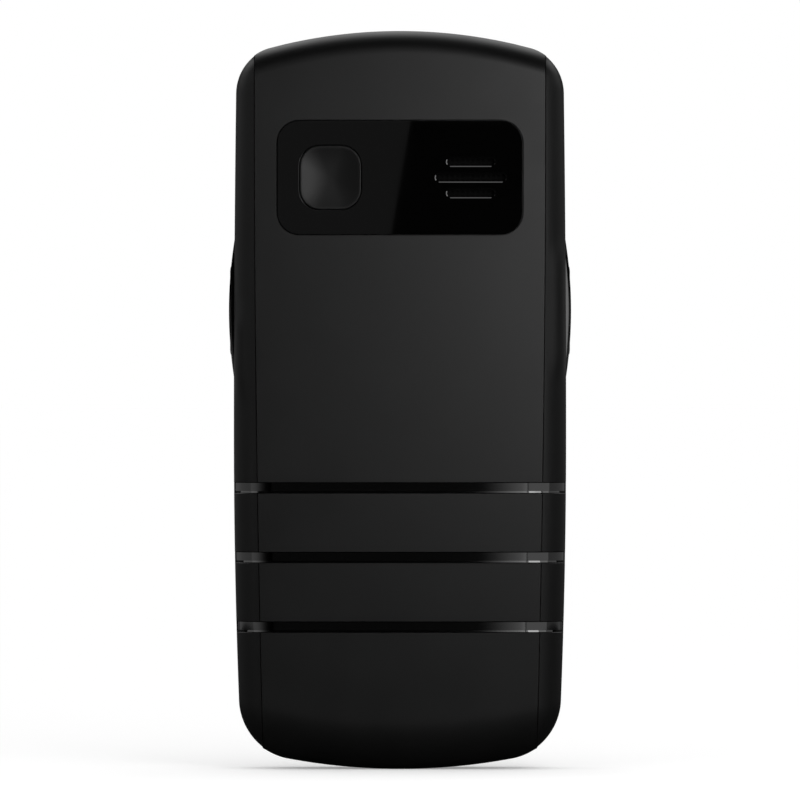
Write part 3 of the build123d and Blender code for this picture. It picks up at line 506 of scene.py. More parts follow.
def cut(piece, points, faces):
    """Cuts a closed shape out of a piece for good."""
    mesh = bpy.data.meshes.new("cutter")
    mesh.from_pydata([Vector(point) * MM for point in points], [], faces)
    form = bmesh.new()
    form.from_mesh(mesh)
    bmesh.ops.recalc_face_normals(form, faces=form.faces)
    form.to_mesh(mesh)
    form.free()
    cutter = bpy.data.objects.new("cutter", mesh)
    bpy.context.scene.collection.objects.link(cutter)
    modifier = piece.modifiers.new("cut", "BOOLEAN")
    modifier.operation = "DIFFERENCE"
    modifier.solver = "EXACT"
    modifier.object = cutter
    bpy.context.view_layer.update()
    result = bpy.data.meshes.new_from_object(piece.evaluated_get(bpy.context.evaluated_depsgraph_get()))
    piece.modifiers.clear()
    piece.data = result
    bpy.data.objects.remove(cutter)
    result.shade_smooth()
    result.set_sharp_from_angle(angle=math.radians(sharp_angle))


# Materials


def put(tree, node, inputs):
    """Fills inputs of a node, by name or place: an output is linked, and another value is set."""
    for key, value in inputs.items():
        if isinstance(value, bpy.types.NodeSocket):
            tree.links.new(value, node.inputs[key])
        else:
            node.inputs[key].default_value = value


def add(tree, kind, inputs, **settings):
    """A new shader node with its settings and inputs."""
    node = tree.nodes.new("ShaderNode" + kind)
    for key, value in settings.items():
        setattr(node, key, value)
    put(tree, node, inputs)
    return node


def principled(name, colour, roughness, metallic=0.0):
    """A new material with its shader and its node tree."""
    material = bpy.data.materials.new(name)
    material.use_nodes = True
    tree = material.node_tree
    shader = tree.nodes["Principled BSDF"]
    put(tree, shader, {"Base Color": (*colour, 1), "Roughness": roughness, "Metallic": metallic})
    return material, shader, tree


def object_space(tree):
    """Places in the object's own space."""
    return add(tree, "TexCoord", {}).outputs["Object"]


def coordinate(tree, vector, axis):
    """One coordinate of a vector."""
    return add(tree, "SeparateXYZ", {"Vector": vector}).outputs[axis]


def arithmetic(tree, operation, first, second):
    """The result of an operation on two outputs, or on an output and a number."""
    return add(tree, "Math", {0: first, 1: second}, operation=operation).outputs["Value"]


def ramped(tree, source, span, low, high, easing="SMOOTHSTEP"):
    """A source over a span as a value that runs from low to high."""
    inputs = {"Value": source, "From Min": span[0], "From Max": span[1], "To Min": low, "To Max": high}
    return add(tree, "MapRange", inputs, interpolation_type=easing).outputs["Result"]


def noise(tree, size, detail=3.0, stretch=1.0):
    """Noise in the object's own space with features of a size in millimetres, drawn out along the
    phone's length. Most of it lies within noise_span."""
    drawn = add(tree, "Mapping", {"Vector": object_space(tree), "Scale": (1, 1, 1 / stretch)})
    inputs = {"Vector": drawn.outputs["Vector"], "Scale": 1 / (size * MM), "Detail": detail}
    return add(tree, "TexNoise", inputs).outputs["Fac"]


def uneven_gloss(tree, shader, source, roughness, unevenness):
    """The roughness varies both ways by an unevenness with a source over noise_span."""
    low, high = roughness - unevenness, roughness + unevenness
    put(tree, shader, {"Roughness": ramped(tree, source, noise_span, low, high, "LINEAR")})


def bump(tree, shader, source, height):
    """Relief of a height in millimetres from a source between 0 and 1."""
    relief = add(tree, "Bump", {"Height": source, "Distance": height * MM, "Strength": 1.0})
    put(tree, shader, {"Normal": relief.outputs["Normal"]})


def shaded(tree, shader, source, stops, blending="LINEAR"):
    """The base colour follows a source through stops, each a position and a colour."""
    ramp = add(tree, "ValToRGB", {"Fac": source})
    ramp.color_ramp.interpolation = blending
    elements = ramp.color_ramp.elements
    while len(elements) < len(stops):
        elements.new(0.5)
    for element, (position, shade) in zip(elements, stops):
        element.position = position
        element.color = (*shade, 1)
    put(tree, shader, {"Base Color": ramp.outputs["Color"]})


def tint(tree, shader, source, dark, pale):
    """The base colour runs from dark to pale with a source over noise_span."""
    shaded(tree, shader, source, list(zip(noise_span, (dark, pale))))


def uneven(name, colours, roughness, unevenness, broad, fine, relief, metallic=0.0):
    """A material with patches of colour and gloss under a fine relief. Its colours are the plain, the dark
    and the pale one, and broad and fine give the size and detail of the patches and the relief."""
    plain, dark, pale = colours
    material, shader, tree = principled(name, plain, roughness, metallic)
    patches = noise(tree, *broad)
    uneven_gloss(tree, shader, patches, roughness, unevenness)
    tint(tree, shader, patches, dark, pale)
    bump(tree, shader, noise(tree, *fine), relief)
    return material


def moulded_plastic(name, level, roughness, grain=0.25, relief=0.0008, unevenness=0.03):
    """Moulded plastic: a fine grain and slightly uneven gloss."""
    shades = [(level * share,) * 3 for share in (1, 0.9, 1.1)]
    return uneven(name, shades, roughness, unevenness, (9.0, 4.0), (grain, 3.0), relief)


def soft_film(name, dark, pale, roughness, size, relief):
    """Rubber, film or print: a broad unevenness under a fine grain."""
    return uneven(name, (pale, dark, pale), roughness, 0.06, (size, 5.0), (size / 8, 4.0), relief)


def battery_wrap():
    """The battery's foil: pale metallic with fine creases."""
    shades = ((0.35, 0.36, 0.38), (0.28, 0.29, 0.31), (0.4, 0.41, 0.43))
    return uneven("battery_wrap", shades, 0.4, 0.1, (14.0, 5.0), (14.0, 5.0), 0.08, 0.3)


def brushed_metal(name, dark, pale, roughness):
    """Metal with fine brushed lines and slightly uneven colour."""
    material, shader, tree = principled(name, pale, roughness, 0.7)
    lines = noise(tree, 0.12, 4.0, stretch=14)
    uneven_gloss(tree, shader, lines, roughness, 0.07)
    tint(tree, shader, noise(tree, 4.0), dark, pale)
    bump(tree, shader, lines, 0.002)
    return material


def circuit_board():
    """Green solder resist over a pattern of tracks, with small plated holes."""
    material, shader, tree = principled("circuit_board", (0.01, 0.08, 0.03), 0.35)
    inputs = {"Vector": object_space(tree), "Scale": 1 / (1.8 * MM)}
    tracks = add(tree, "TexVoronoi", inputs, distance="CHEBYCHEV").outputs["Distance"]
    shades = ((0.0, (0.6, 0.42, 0.12)), (0.1, (0.012, 0.1, 0.035)), (0.3, (0.02, 0.16, 0.06)),
              (0.42, (0.008, 0.07, 0.025)))
    shaded(tree, shader, tracks, shades, "CONSTANT")
    bump(tree, shader, tracks, 0.02)
    return material


def woven_mesh():
    """Fine woven dust mesh: two sets of threads in relief, with painted shade in the gaps between them."""
    material, shader, tree = principled("woven_mesh", (0.02, 0.02, 0.02), 0.6)
    bands = []
    for direction in ("X", "Z"):
        inputs = {"Vector": object_space(tree), "Scale": 1 / (2.6 * MM)}
        wave = add(tree, "TexWave", inputs, wave_type="BANDS", bands_direction=direction)
        bands.append(wave.outputs["Fac"])
    weave = arithmetic(tree, "MAXIMUM", *bands)
    # Painted shade: the gaps between the threads are painted darker than the threads.
    tint(tree, shader, weave, (0.0002,) * 3, (0.0012,) * 3)
    put(tree, shader, {"Specular IOR Level": 0.05})
    bump(tree, shader, weave, 0.05)
    return material


def clear_plastic(name, roughness):
    """Clear plastic with a trace of unevenness in its gloss."""
    material, shader, tree = principled(name, (1, 1, 1), roughness)
    put(tree, shader, {"Transmission Weight": 1.0, "IOR": 1.49})
    uneven_gloss(tree, shader, noise(tree, 8.0), roughness, roughness * 0.3)
    return material


def two_shades(tree, shader, axis, span, outside, inside):
    """The base colour is one shade where an object coordinate lies in a span in millimetres, and another
    elsewhere. Gives 1 inside and 0 outside."""
    place = coordinate(tree, object_space(tree), axis)
    above = arithmetic(tree, "GREATER_THAN", place, span[0] * MM)
    below = arithmetic(tree, "LESS_THAN", place, span[1] * MM)
    mask = arithmetic(tree, "MULTIPLY", above, below)
    shades = add(tree, "Mix", {"A": (*outside, 1), "B": (*inside, 1), "Factor": mask}, data_type="RGBA")
    put(tree, shader, {"Base Color": shades.outputs["Result"]})
    return mask


def display_stack():
    """The display: a polished dark glass face, raised from a satin black frame."""
    material, shader, tree = principled("display_stack", (0.01, 0.01, 0.011), 0.3)
    raised = two_shades(tree, shader, "Y", display_glass, (0.008, 0.008, 0.009), (0.0015, 0.002, 0.004))
    put(tree, shader, {"Specular IOR Level": 0.2,
                       "Roughness": ramped(tree, raised, (0, 1), 0.35, 0.06, "LINEAR")})
    return material


def diode_package():
    """The torch's diode: a pale package with a yellow die on top."""
    material, shader, tree = principled("diode_package", (0.7, 0.7, 0.66), 0.5)
    two_shades(tree, shader, "Z", diode_die, (0.7, 0.7, 0.66), (0.8, 0.6, 0.06))
    bump(tree, shader, noise(tree, 0.3), 0.004)
    return material


noise_span = (0.3, 0.7)
display_glass = (4.45, 5.0)
diode_die = (113.12, 114.0)
cover_plastic = moulded_plastic("satin_black_plastic", 0.0011, 0.42)
housing_plastic = moulded_plastic("housing_plastic", 0.0025, 0.38)
gloss_plastic = moulded_plastic("polished_black_plastic", 0.0006, 0.02, 6.0, 0.00005, 0.005)
inlay_plastic = moulded_plastic("polished_inlay", 0.0003, 0.04, 6.0, 0.0001, 0.005)
inlay_plastic.node_tree.nodes["Principled BSDF"].inputs["IOR"].default_value = 1.9
crescent_plastic = moulded_plastic("crescent_plastic", 0.0006, 0.1, 6.0, 0.00005, 0.01)
key_plastic = moulded_plastic("key_plastic", 0.018, 0.36)
back_key_plastic = moulded_plastic("back_key_plastic", 0.0025, 0.42)
back_key_plastic.node_tree.nodes["Principled BSDF"].inputs["Specular IOR Level"].default_value = 0.35
white_print = soft_film("white_print", (0.62, 0.62, 0.62), (0.72, 0.72, 0.72), 0.5, 1.0, 0.002)
green_print = soft_film("green_print", (0.02, 0.3, 0.04), (0.03, 0.38, 0.05), 0.5, 1.0, 0.002)
red_print = soft_film("red_print", (0.45, 0.01, 0.01), (0.55, 0.02, 0.02), 0.5, 1.0, 0.002)


def rear_cover():
    """The moulded cover: one shell with rolled ends, creases, grooves and the panel's window."""
    rows = cover_rows()
    outer = [cover_row(row) for row in rows]
    inner = [cover_row((row[0], row[1], 0), cover_wall) for row in rows]
    points, faces = closed_layer(outer, inner)
    piece = build("moulded_cover", points, faces, cover_plastic, "rear_cover", "cover_plastic")
    overrun = 1.0
    rim = rim_of(window_width, window_height, window_corner_radius, 0, window_centre)
    rings = ((back_face - overrun, panel_edge + overrun), (back_face + panel_edge, 0), (parting, 0))
    cut(piece, *stack([ring_at(rim, grown, y) for y, grown in rings]))
    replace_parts(piece, "rear_cover")


def eased(points, rounds):
    """A row of points spaced evenly, with its bends eased over a number of rounds."""
    count = 220
    lengths = [0.0]
    for a, b in zip(points, points[1:]):
        lengths.append(lengths[-1] + math.dist(a, b))
    even = []
    place = 0
    for step in range(count + 1):
        length = lengths[-1] * step / count
        while place < len(points) - 2 and lengths[place + 1] < length:
            place += 1
        share = (length - lengths[place]) / (lengths[place + 1] - lengths[place])
        even.append(Vector(points[place]).lerp(Vector(points[place + 1]), share))
    for _ in range(rounds):
        middle = [(a + 2 * b + c) / 4 for a, b, c in zip(even, even[1:], even[2:])]
        even = [even[0]] + middle + [even[-1]]
    return even


def inlay(name, z):
    """A glossy strip on the floor of a groove, from rim to rim, with a lip along its lower edge."""
    low = z - groove_width / 2 + groove_bevel + inlay_end_gap
    high = z + groove_width / 2 - inlay_end_gap
    rows = [flat_row(low), flat_row(low + inlay_lip), flat_row(high - groove_edge), flat_row(high)]
    tops = (inlay_recess - inlay_lip_rise, inlay_recess, inlay_recess, inlay_recess + groove_edge)
    outer = [eased(cover_row(row, top), inlay_ease_rounds) for row, top in zip(rows, tops)]
    inner = [eased(cover_row(row, groove_depth - inlay_glue_gap), 0) for row in rows]
    points, faces = closed_layer(outer, inner)
    piece = build(name + "_strip", points, faces, inlay_plastic, "rear_cover", "gloss_trim",
                  inlay_sharp_angle)
    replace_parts(piece, name)


def rear_panel():
    """The glossy panel in the window, with chamfered slots and a hole for the key."""
    fine_edge = quarter_round(panel_edge)
    rims = [(rim_of(window_width - 2 * window_gap, window_height - 2 * window_gap,
                    window_corner_radius - window_gap, 0, window_centre), fine_edge),
            (rim_of(assist_width + 2 * assist_gap, assist_height + 2 * assist_gap,
                    assist_corner_radius + assist_gap, assist_x, window_centre), fine_edge)]
    chamfer = ((0, slot_chamfer_drop), (slot_chamfer, 0))
    for place, length in enumerate(slot_lengths):
        rims.append((rim_of(length, slot_height, slot_height / 2, slot_x,
                            window_centre + (place - 1) * slot_pitch), chamfer))
    piece = plate("slotted_panel", rims, panel_back, back_face + panel_recess, gloss_plastic, "chassis",
                  "gloss_trim")
    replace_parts(piece, "rear_panel")


def assist_key():
    """The dished key in the panel, on its flange and plunger."""
    front = back_face + panel_recess - assist_rise
    rim = rim_of(assist_width, assist_height, assist_corner_radius, assist_x, window_centre)
    across = 2 * assist_plunger_radius
    plunger = rim_of(across, across, assist_plunger_radius, assist_x, window_centre)
    rings = [ring_at(plunger, 0, y) for y in (assist_plunger_tip, assist_flange[1])]
    rings += [ring_at(rim, assist_flange_margin, y) for y in reversed(assist_flange)]
    rings.append(ring_at(rim, 0, assist_flange[0]))
    rings += [ring_at(rim, -inset, front + drop) for inset, drop in quarter_round(assist_edge)]
    land = ring_at(rim, -assist_edge - assist_rim, front)
    rings.append(land)
    steps = 14
    for step in range(1, steps):
        scale = 1 - step / steps
        depth = front + assist_dish * (1 - scale ** 2)
        rings.append([(assist_x + (x - assist_x) * scale, depth, window_centre + (z - window_centre) * scale)
                      for x, _, z in land])
    points, faces = stack(rings)
    piece = build("dished_key", points, faces, back_key_plastic, "assist_key", "back_key", sharp=28)
    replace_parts(piece, "assist_key")


side_rim = rim_of(2 * side_key_half, side_key_length, side_corner, side_y, side_height)


def side_outer(z, rise):
    """How far the crescent of a side bezel reaches at a height, raised by a rise."""
    end_x = side_half_width(side_height + bezel_length / 2)
    sagitta = side_wall + bezel_rise - end_x
    radius = ((bezel_length / 2) ** 2 + sagitta ** 2) / (2 * sagitta)
    return side_wall + bezel_rise - radius + math.sqrt((radius + rise) ** 2 - (z - side_height) ** 2)


def side_section(x_in, x_out, z):
    """A ring across a side bezel: flat inside, with its outer edges rounded."""
    edge = min(bezel_edge, (x_out - x_in) * bezel_edge_share)
    straight = bezel_half - edge
    points = [(x_in, side_y - bezel_half, z), (x_in, side_y + bezel_half, z)]
    steps = 5
    for sign, order in ((1, range(steps, -1, -1)), (-1, range(steps + 1))):
        for step in order:
            turn = math.pi / 2 * step / steps
            points.append((x_out - edge + edge * math.cos(turn),
                           side_y + sign * (straight + edge * math.sin(turn)), z))
    return points


def side_rings(side):
    """The rings of a side bezel's crescent, closer together towards its ends."""
    rings = []
    steps = 28
    for step in range(steps + 1):
        z = side_height - bezel_length / 2 * math.cos(math.pi * step / steps)
        rings.append([(side * x, y, pz) for x, y, pz in side_section(bezel_seat, side_outer(z, 0), z)])
    return rings


def side_bezel(side, name):
    """The glossy crescent round a side key, with the plug behind it and the window for the key."""
    crescent = build(name + "_crescent", *stack(side_rings(side)), crescent_plastic, "chassis", "gloss_trim",
                     sharp=30)
    window = side_rim(side_gap)
    cut(crescent, *stack([[(side * x, y, z) for y, z in window] for x in (plug_seat, body_width)]))
    join(crescent, side_plug(side))
    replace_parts(crescent, name)


def side_key(side, name):
    """A side key: its outer face follows the crescent, and its flange holds it behind the wall."""

    def ring(grown, x_of):
        return [(side * x_of(z), y, z) for y, z in side_rim(grown)]

    rings = [ring(side_flange_margin, lambda z, x=x: x) for x in side_flange]
    rings.append(ring(0, lambda z: side_flange[1]))
    for inset, drop in quarter_round(side_key_edge):
        rings.append(ring(-inset, lambda z, drop=drop: side_outer(z, side_key_rise) - drop))
    rings.append(ring(-2 * side_key_edge, lambda z: side_outer(z, side_key_rise)))
    points, faces = stack(rings)
    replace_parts(build(name + "_cap", points, faces, back_key_plastic, name, "back_key", sharp=40), name)


def side_plug(side):
    """The hollow plug behind a side bezel, through the housing's wall."""
    outer = rounded_outline(2 * plug_half, plug_length, side_corner, side_y, side_height)
    inner = side_rim(side_gap)
    section = ((outer, plug_seat), (outer, bezel_seat), (inner, bezel_seat), (inner, plug_seat))
    return walls([[(side * x, y, z) for y, z in outline] for outline, x in section], True)


def join(piece, shape):
    """Adds a closed shape in millimetres to a piece's mesh."""
    points, faces = shape
    form = bmesh.new()
    form.from_mesh(piece.data)
    made = [form.verts.new(Vector(point) * MM) for point in points]
    added = [form.faces.new([made[place] for place in face]) for face in faces]
    bmesh.ops.recalc_face_normals(form, faces=added)
    form.to_mesh(piece.data)
    form.free()


def front_key(name, x, z, height):
    """A front key: a crowned cap with soft edges, on its flange and plunger."""
    front = key_front - key_crown_drop
    side = front - key_crown
    rim = rim_of(key_width, height, key_corner_radius, x, z)
    across = 2 * key_plunger_radius
    plunger = rim_of(across, across, key_plunger_radius, x, z)
    rings = [ring_at(plunger, 0, y) for y in (key_plunger_tip, key_flange[0])]
    rings += [ring_at(rim, key_flange_margin, y) for y in key_flange]
    rings.append(ring_at(rim, 0, key_flange[1]))
    rings += [ring_at(rim, -inset, side - drop) for inset, drop in quarter_round(key_edge_radius)]
    reach = height / 2 - key_edge_radius - key_land
    steps = 9
    for step in range(1, steps + 1):
        share = step / steps
        rings.append(ring_at(rim, -key_edge_radius - reach * share,
                             side + key_crown * (1 - (1 - share) ** 2)))
    points, faces = stack(rings)
    piece = build(name + "_cap", points, faces, key_plastic, name, "keypad", sharp=50)
    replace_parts(piece, name)


def printed_text(name, text, size, x, z, body):
    """A digit or sign on a key, printed on its crown."""
    data = bpy.data.curves.new(name, "FONT")
    data.body = text
    data.size = size * MM
    data.align_x = "CENTER"
    data.align_y = "CENTER"
    data.extrude = print_thickness / 2 * MM
    source = bpy.data.objects.new(name, data)
    bpy.context.scene.collection.objects.link(source)
    bpy.context.view_layer.update()
    mesh = bpy.data.meshes.new_from_object(source)
    bpy.data.objects.remove(source)
    low = [min(vertex.co[axis] for vertex in mesh.vertices) for axis in (0, 1)]
    high = [max(vertex.co[axis] for vertex in mesh.vertices) for axis in (0, 1)]
    centre = Vector(((low[0] + high[0]) / 2, (low[1] + high[1]) / 2, 0))
    turn = Matrix(((-1, 0, 0, 0), (0, 0, 1, 0), (0, 1, 0, 0), (0, 0, 0, 1)))
    place = Matrix.Translation(Vector((x, key_front - print_thickness / 2, z)) * MM)
    mesh.transform(place @ turn @ Matrix.Translation(-centre))
    finish_piece(name, mesh, white_print, body, "keypad")


def printed_shape(name, outline, material, body):
    """A flat printed sign on a key, from the points of its outline in millimetres."""
    low = [(x, key_front - print_thickness, z) for x, z in outline]
    high = [(x, key_front, z) for x, z in outline]
    points, faces = stack([low, high])
    build(name, points, faces, material, body, "keypad")


def handset(x, z, turn):
    """The outline of a telephone handset, turned by an angle about its middle."""
    half, rise, pad, inner, hollow = 2.25, 1.15, 0.75, 1.2, 0.45
    steps = 12
    turns = [math.pi * step / steps for step in range(steps + 1)]
    points = [(half * math.cos(angle), rise * math.sin(angle)) for angle in turns]
    points += [(-half, -pad), (-inner, -pad)]
    points += [(-inner * math.cos(angle), hollow * math.sin(angle)) for angle in turns]
    points += [(inner, -pad), (half, -pad)]
    return [(x + px * math.cos(turn) - pz * math.sin(turn), z + px * math.sin(turn) + pz * math.cos(turn))
            for px, pz in points]


def arrow(x, z, direction):
    """The outline of a small arrow head that points up or down."""
    half, rise, bar = 1.9, 1.5, 0.75
    points = [(-half, -rise / 2), (0, rise / 2), (half, -rise / 2), (half, -rise / 2 - bar),
              (0, rise / 2 - bar), (-half, -rise / 2 - bar)]
    return [(x + px, z + (pz + bar / 2) * direction) for px, pz in points]


def keypad():
    """All keys of the front, with plain digits and signs."""
    for row, (z, names) in enumerate(zip(row_heights, row_names)):
        height = number_key_height if row < number_rows else function_key_height
        for column, name in enumerate(names):
            x = (1 - column) * column_pitch
            front_key(name, x, z, height)
            if row < number_rows:
                sign = {"key_star": "*", "key_hash": "#"}.get(name, name[-1])
                size = sign_size if name == "key_hash" else digit_size
                printed_text(name + "_print", sign, size, x, z, name)
            elif name.startswith("soft"):
                printed_shape(name + "_print", rounded_outline(*bar_sign, x, z), white_print, name)
            elif name in ("up_key", "down_key"):
                printed_shape(name + "_print", arrow(x, z, 1 if name == "up_key" else -1), white_print, name)
    for key, way, turn, material in (("call", 1, -135, green_print), ("end", -1, 0, red_print)):
        icon = handset(way * column_pitch, row_heights[number_rows], math.radians(turn))
        printed_shape(key + "_print", icon, material, key + "_key")


rear_cover()
for place, z in zip(("upper", "middle", "lower"), groove_heights):
    inlay(f"groove_inlay_{place}", z)
rear_panel()
assist_key()
for side, bezel, key in ((1, "volume_bezel", "volume_rocker"), (-1, "lock_bezel", "lock_key")):
    side_bezel(side, bezel)
    side_key(side, key)
keypad()


# Carried-over parts

slot_materials = {
    "cover_plastic": cover_plastic,
    "gloss_trim": gloss_plastic,
    "back_key": back_key_plastic,
    "housing_plastic": housing_plastic,
    "keypad": key_plastic,
    "lens": clear_plastic("clear_lens", 0.02),
    "display": display_stack(),
    "torch_clear": clear_plastic("torch_lens_plastic", 0.06),
    "rubber": soft_film("keypad_rubber", (0.012, 0.012, 0.013), (0.02, 0.02, 0.021), 0.7, 3.0, 0.01),
    "board": circuit_board(),
    "film": soft_film("polyester_film", (0.5, 0.5, 0.48), (0.6, 0.6, 0.58), 0.3, 5.0, 0.01),
    "mesh": woven_mesh(),
    "steel": brushed_metal("brushed_steel", (0.42, 0.42, 0.43), (0.56, 0.56, 0.57), 0.34),
    "copper": brushed_metal("gold_plating", (0.7, 0.45, 0.16), (0.85, 0.58, 0.25), 0.28),
    "battery_foil": battery_wrap(),
    "small_parts": moulded_plastic("small_parts_plastic", 0.02, 0.45, 0.15, 0.001),
}
soft_edges = {
    "display_lens": 0.12,
    "battery_can": 0.1, "battery_end": 0.12, "sim_holder": 0.08, "card_holder": 0.08, "shield_can": 0.1,
    "loudspeaker": 0.15, "usb_socket": 0.06, "headset_socket": 0.1, "earpiece_receiver": 0.15,
    "frame_screws": 0.06, "front_housing": 0.12,
}


def soften(node, width):
    """Rounds the sharp edges of a carried-over part with modifiers."""
    node.modifiers.new("weld", "WELD").merge_threshold = weld_distance * MM
    flat = node.modifiers.new("flat", "DECIMATE")
    flat.decimate_type = "DISSOLVE"
    flat.angle_limit = math.radians(0.5)
    edges = node.modifiers.new("edges", "BEVEL")
    edges.width = width * MM
    edges.segments = 3
    edges.limit_method = "ANGLE"
    edges.angle_limit = math.radians(50)
    edges.harden_normals = True


slots = {row["node"]: row["material_slot"] for row in frame["record"]["subparts"]}
for name, node in frame["nodes"].items():
    node.data.materials.clear()
    node.data.materials.append(diode_package() if name == "torch_led" else slot_materials[slots[name]])
    if name in soft_edges:
        soften(node, soft_edges[name])


# Stage, light and camera


def card(name, rows, strength, fade=None):
    """A reflector between two rows of points that only shows in reflections. Its light can fade in
    between two places along X."""
    mesh = bpy.data.meshes.new(name)
    mesh.from_pydata([Vector(corner) * MM for row in rows for corner in row], [], grid_faces(2, len(rows[0])))
    piece = bpy.data.objects.new(name, mesh)
    bpy.context.scene.collection.objects.link(piece)
    material = bpy.data.materials.new(name)
    material.use_nodes = True
    tree = material.node_tree
    tree.nodes.clear()
    if fade:
        place = coordinate(tree, object_space(tree), "X")
        strength = ramped(tree, place, [end * MM for end in fade], 0, strength)
    glow = add(tree, "Emission", {"Color": (1, 1, 1, 1), "Strength": strength})
    add(tree, "OutputMaterial", {"Surface": glow.outputs["Emission"]})
    mesh.materials.append(material)
    piece.visible_camera = False
    piece.visible_diffuse = False
    piece.visible_shadow = False
    piece.visible_transmission = False


def soft_light(name, place, target, width, height, power):
    """A rectangular soft light at a place that faces a target, all in millimetres."""
    light = bpy.data.lights.new(name, "AREA")
    light.shape = "RECTANGLE"
    light.size = width * MM
    light.size_y = height * MM
    light.energy = power
    lamp = bpy.data.objects.new(name, light)
    lamp.location = Vector(place) * MM
    lamp.rotation_euler = (Vector(place) - Vector(target)).to_track_quat("Z", "Y").to_euler()
    lamp.visible_camera = False
    bpy.context.scene.collection.objects.link(lamp)


def seen_rays(tree):
    """1 on rays from the camera or through glass, and the light path's node."""
    path = add(tree, "LightPath", {})
    return arithmetic(tree, "MAXIMUM", path.outputs["Is Camera Ray"],
                      path.outputs["Is Transmission Ray"]), path


def white_world():
    """A white backdrop and a plain soft light all round. Reflections see a dim room, with a bright sky
    beyond the phone's far side."""
    world = bpy.data.worlds.new("studio")
    bpy.context.scene.world = world
    world.use_nodes = True
    tree = world.node_tree
    tree.nodes.clear()
    seen, path = seen_rays(tree)
    way = add(tree, "TexCoord", {}).outputs["Generated"]
    behind = ramped(tree, coordinate(tree, way, "Y"), backdrop_span, 0, backdrop_light)
    above = ramped(tree, coordinate(tree, way, "Z"), sky_span, horizon_light, 1)
    sky = arithmetic(tree, "MULTIPLY", behind, above)
    inputs = {"A": plain_light, "B": arithmetic(tree, "MAXIMUM", sky, room_light),
              "Factor": path.outputs["Is Glossy Ray"]}
    shown = add(tree, "Mix", inputs, data_type="FLOAT").outputs["Result"]
    strength = arithmetic(tree, "MAXIMUM", seen, shown)
    light = add(tree, "Background", {"Color": (1, 1, 1, 1), "Strength": strength})
    add(tree, "OutputWorld", {"Surface": light.outputs["Background"]})


def pale_floor():
    """A wide pale floor under the phone. It reads white and keeps the phone's shadow. For reflections its
    colour is painted dark in front of the phone, a painted shade, and it glows grey beyond it, a painted
    reflection."""
    mesh = bpy.data.meshes.new("floor")
    square = ((-1, -1), (1, -1), (1, 1), (-1, 1))
    mesh.from_pydata([Vector((x, y, 0)) * floor_half_size * MM for x, y in square], [], [(0, 1, 2, 3)])
    floor = bpy.data.objects.new("floor", mesh)
    bpy.context.scene.collection.objects.link(floor)
    material, shader, tree = principled("pale_floor", (floor_level,) * 3, 1.0)
    seen, path = seen_rays(tree)
    reflection = path.outputs["Is Glossy Ray"]
    place = coordinate(tree, object_space(tree), "Y")
    behind = ramped(tree, place, [end * MM for end in floor_span], 0, 1)
    # Painted reflection: for reflections only, the floor glows grey beyond the phone.
    grey = arithmetic(tree, "MULTIPLY", arithmetic(tree, "MULTIPLY", reflection, behind), painted_floor_reflection)
    shown = arithmetic(tree, "MAXIMUM", seen, grey)
    lift = 1 - floor_level * plain_light
    # Painted shade: for reflections only, the floor's colour drops nearly to black in front of the phone.
    dimmed = arithmetic(tree, "SUBTRACT", reflection, grey)
    painted_shade = arithmetic(tree, "MULTIPLY", dimmed, floor_level - painted_floor_shade)
    put(tree, shader, {"Specular IOR Level": 0.0, "Emission Color": (1, 1, 1, 1),
                       "Emission Strength": arithmetic(tree, "MULTIPLY", shown, lift),
                       "Base Color": arithmetic(tree, "SUBTRACT", floor_level, painted_shade)})
    mesh.materials.append(material)


plain_light = 0.9
room_light = 0.004
backdrop_light = 1.4
backdrop_span = (0.1, 0.45)
horizon_light = 0.03
sky_span = (0.25, 0.6)
floor_half_size = 60000.0
floor_level = 0.8
# Levels of the floor's painted shade and painted reflection, as reflections see them.
painted_floor_shade = 0.02
painted_floor_reflection = 0.25
floor_span = (100.0, 600.0)
white_world()
pale_floor()
strip_middle = (0, back_face, 60)
soft_light("key_light", (68, -168, 101), strip_middle, width=84, height=104, power=0.089)

photo_size = 800
photo_scale = 0.1583
photo_floor_row = 769.5
scale_plane = -4.6
camera_distance = 1300.0
camera_height = (photo_floor_row - photo_size / 2) * photo_scale
card_distance = 600.0
spread_of_view = 1 + card_distance / camera_distance


def front_card(name, low, high, strength, fade=None):
    """A card in front of the phone, between two edges given as places and heights."""
    card(name, [[(x, -card_distance, z) for x, z in edge] for edge in (low, high)], strength, fade)


def mirrored(x, z):
    """Where the camera sees the card's plane mirrored in a point of the back face."""
    return x * spread_of_view, camera_height + (z - camera_height) * spread_of_view


def arc_card(name, side, azimuths, low, high, strength, fade=None):
    """An upright card bent round one side of the phone, between two azimuths from straight in front."""
    steps = 24
    rows = []
    for z in (low, high):
        row = []
        for step in range(steps + 1):
            turn = math.radians(azimuths[0] + (azimuths[1] - azimuths[0]) * step / steps)
            row.append((side * (crease_half_width + arc_radius * math.sin(turn)),
                        back_face - arc_radius * math.cos(turn), z))
        rows.append(row)
    card(name, rows, strength, fade)


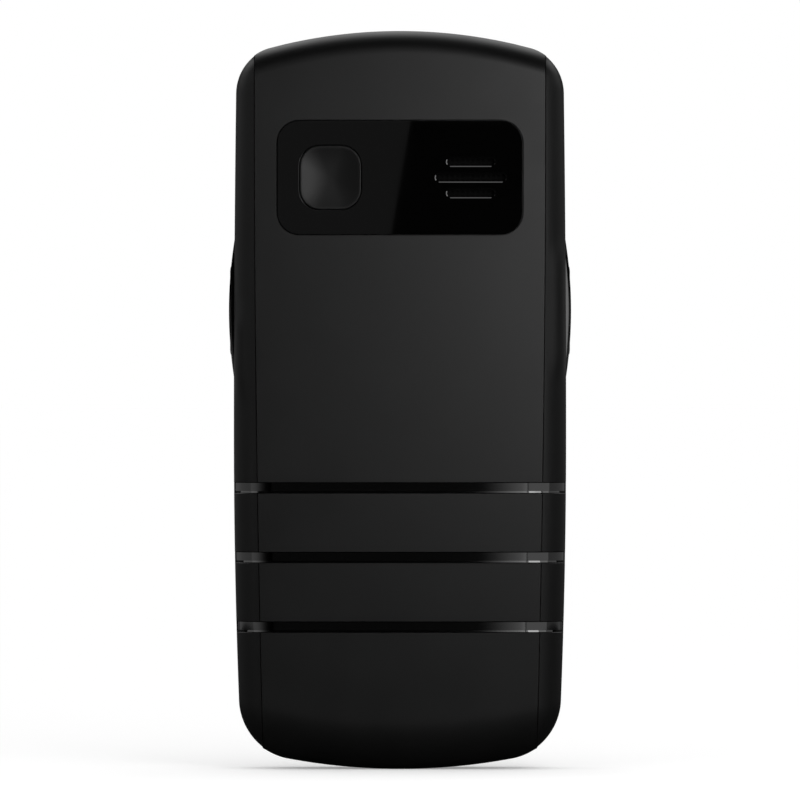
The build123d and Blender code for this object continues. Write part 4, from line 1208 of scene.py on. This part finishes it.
arc_radius = 450.0
panel_margin = 3.0
panel_card_ends = (-1.9, 2.25)
groove_card_edges = (18, 36)
groove_fade = (18, 35)
slot_card_edges = (-40, 90)
panel_light = 0.14
groove_light = 0.93
bright_light = 1.9
near_azimuths = (1.5, 65)
far_azimuths = (65, 130)
flank_azimuths = (47, 58)
inlay_heights = (-8, 46)
inlay_light = 0.6
near_lip_heights = (180, 262)
far_lip_heights = (150, 250)
lip_light = 1.15
flank_light = 1.0
left_fade = (-30, -470)
panel_start = -window_width / 2 - panel_margin
panel_rows = []
for way, end in zip((-1, 1), panel_card_ends):
    level = window_centre + way * (window_height / 2 + panel_margin)
    panel_rows.append([mirrored(panel_start, level), mirrored(end, level)])
front_card("panel_card", *panel_rows, panel_light)
for name, edges, heights, strength, fade in (
        ("groove_card", groove_card_edges, (-10, 50), groove_light, groove_fade),
        ("groove_lip_card", groove_card_edges, (270, 340), bright_light, groove_fade),
        ("slot_card", slot_card_edges, (430, 520), bright_light, None)):
    front_card(name, *[[(x, z) for x in edges] for z in heights], strength, fade)
for side, place, near, far, fade in ((1, "right", 1.0, 0.4, None), (-1, "left", 0.75, 0.5, left_fade)):
    arc_card(place + "_low_card", side, near_azimuths, *inlay_heights, inlay_light * near, fade)
    arc_card(place + "_side_card", side, far_azimuths, *inlay_heights, inlay_light * far)
    arc_card(place + "_lip_card", side, near_azimuths, *near_lip_heights, lip_light * near, fade)
    arc_card(place + "_side_lip_card", side, far_azimuths, *far_lip_heights, lip_light * far)
for side, place, heights in ((1, "right", (60, 100)), (-1, "left", (10, 90))):
    arc_card(place + "_flank_card", side, flank_azimuths, *heights, flank_light)

sensor_width = 36.0
lens = bpy.data.cameras.new("camera")
lens.sensor_width = sensor_width
lens.lens = sensor_width * camera_distance / (photo_size * photo_scale)
lens.clip_end = 100
camera = bpy.data.objects.new("camera", lens)
camera.location = Vector((0, scale_plane - camera_distance, camera_height)) * MM
camera.rotation_euler = (math.pi / 2, 0, 0)
bpy.context.scene.collection.objects.link(camera)
bpy.context.scene.camera = camera
bpy.context.scene.view_settings.view_transform = "Standard"
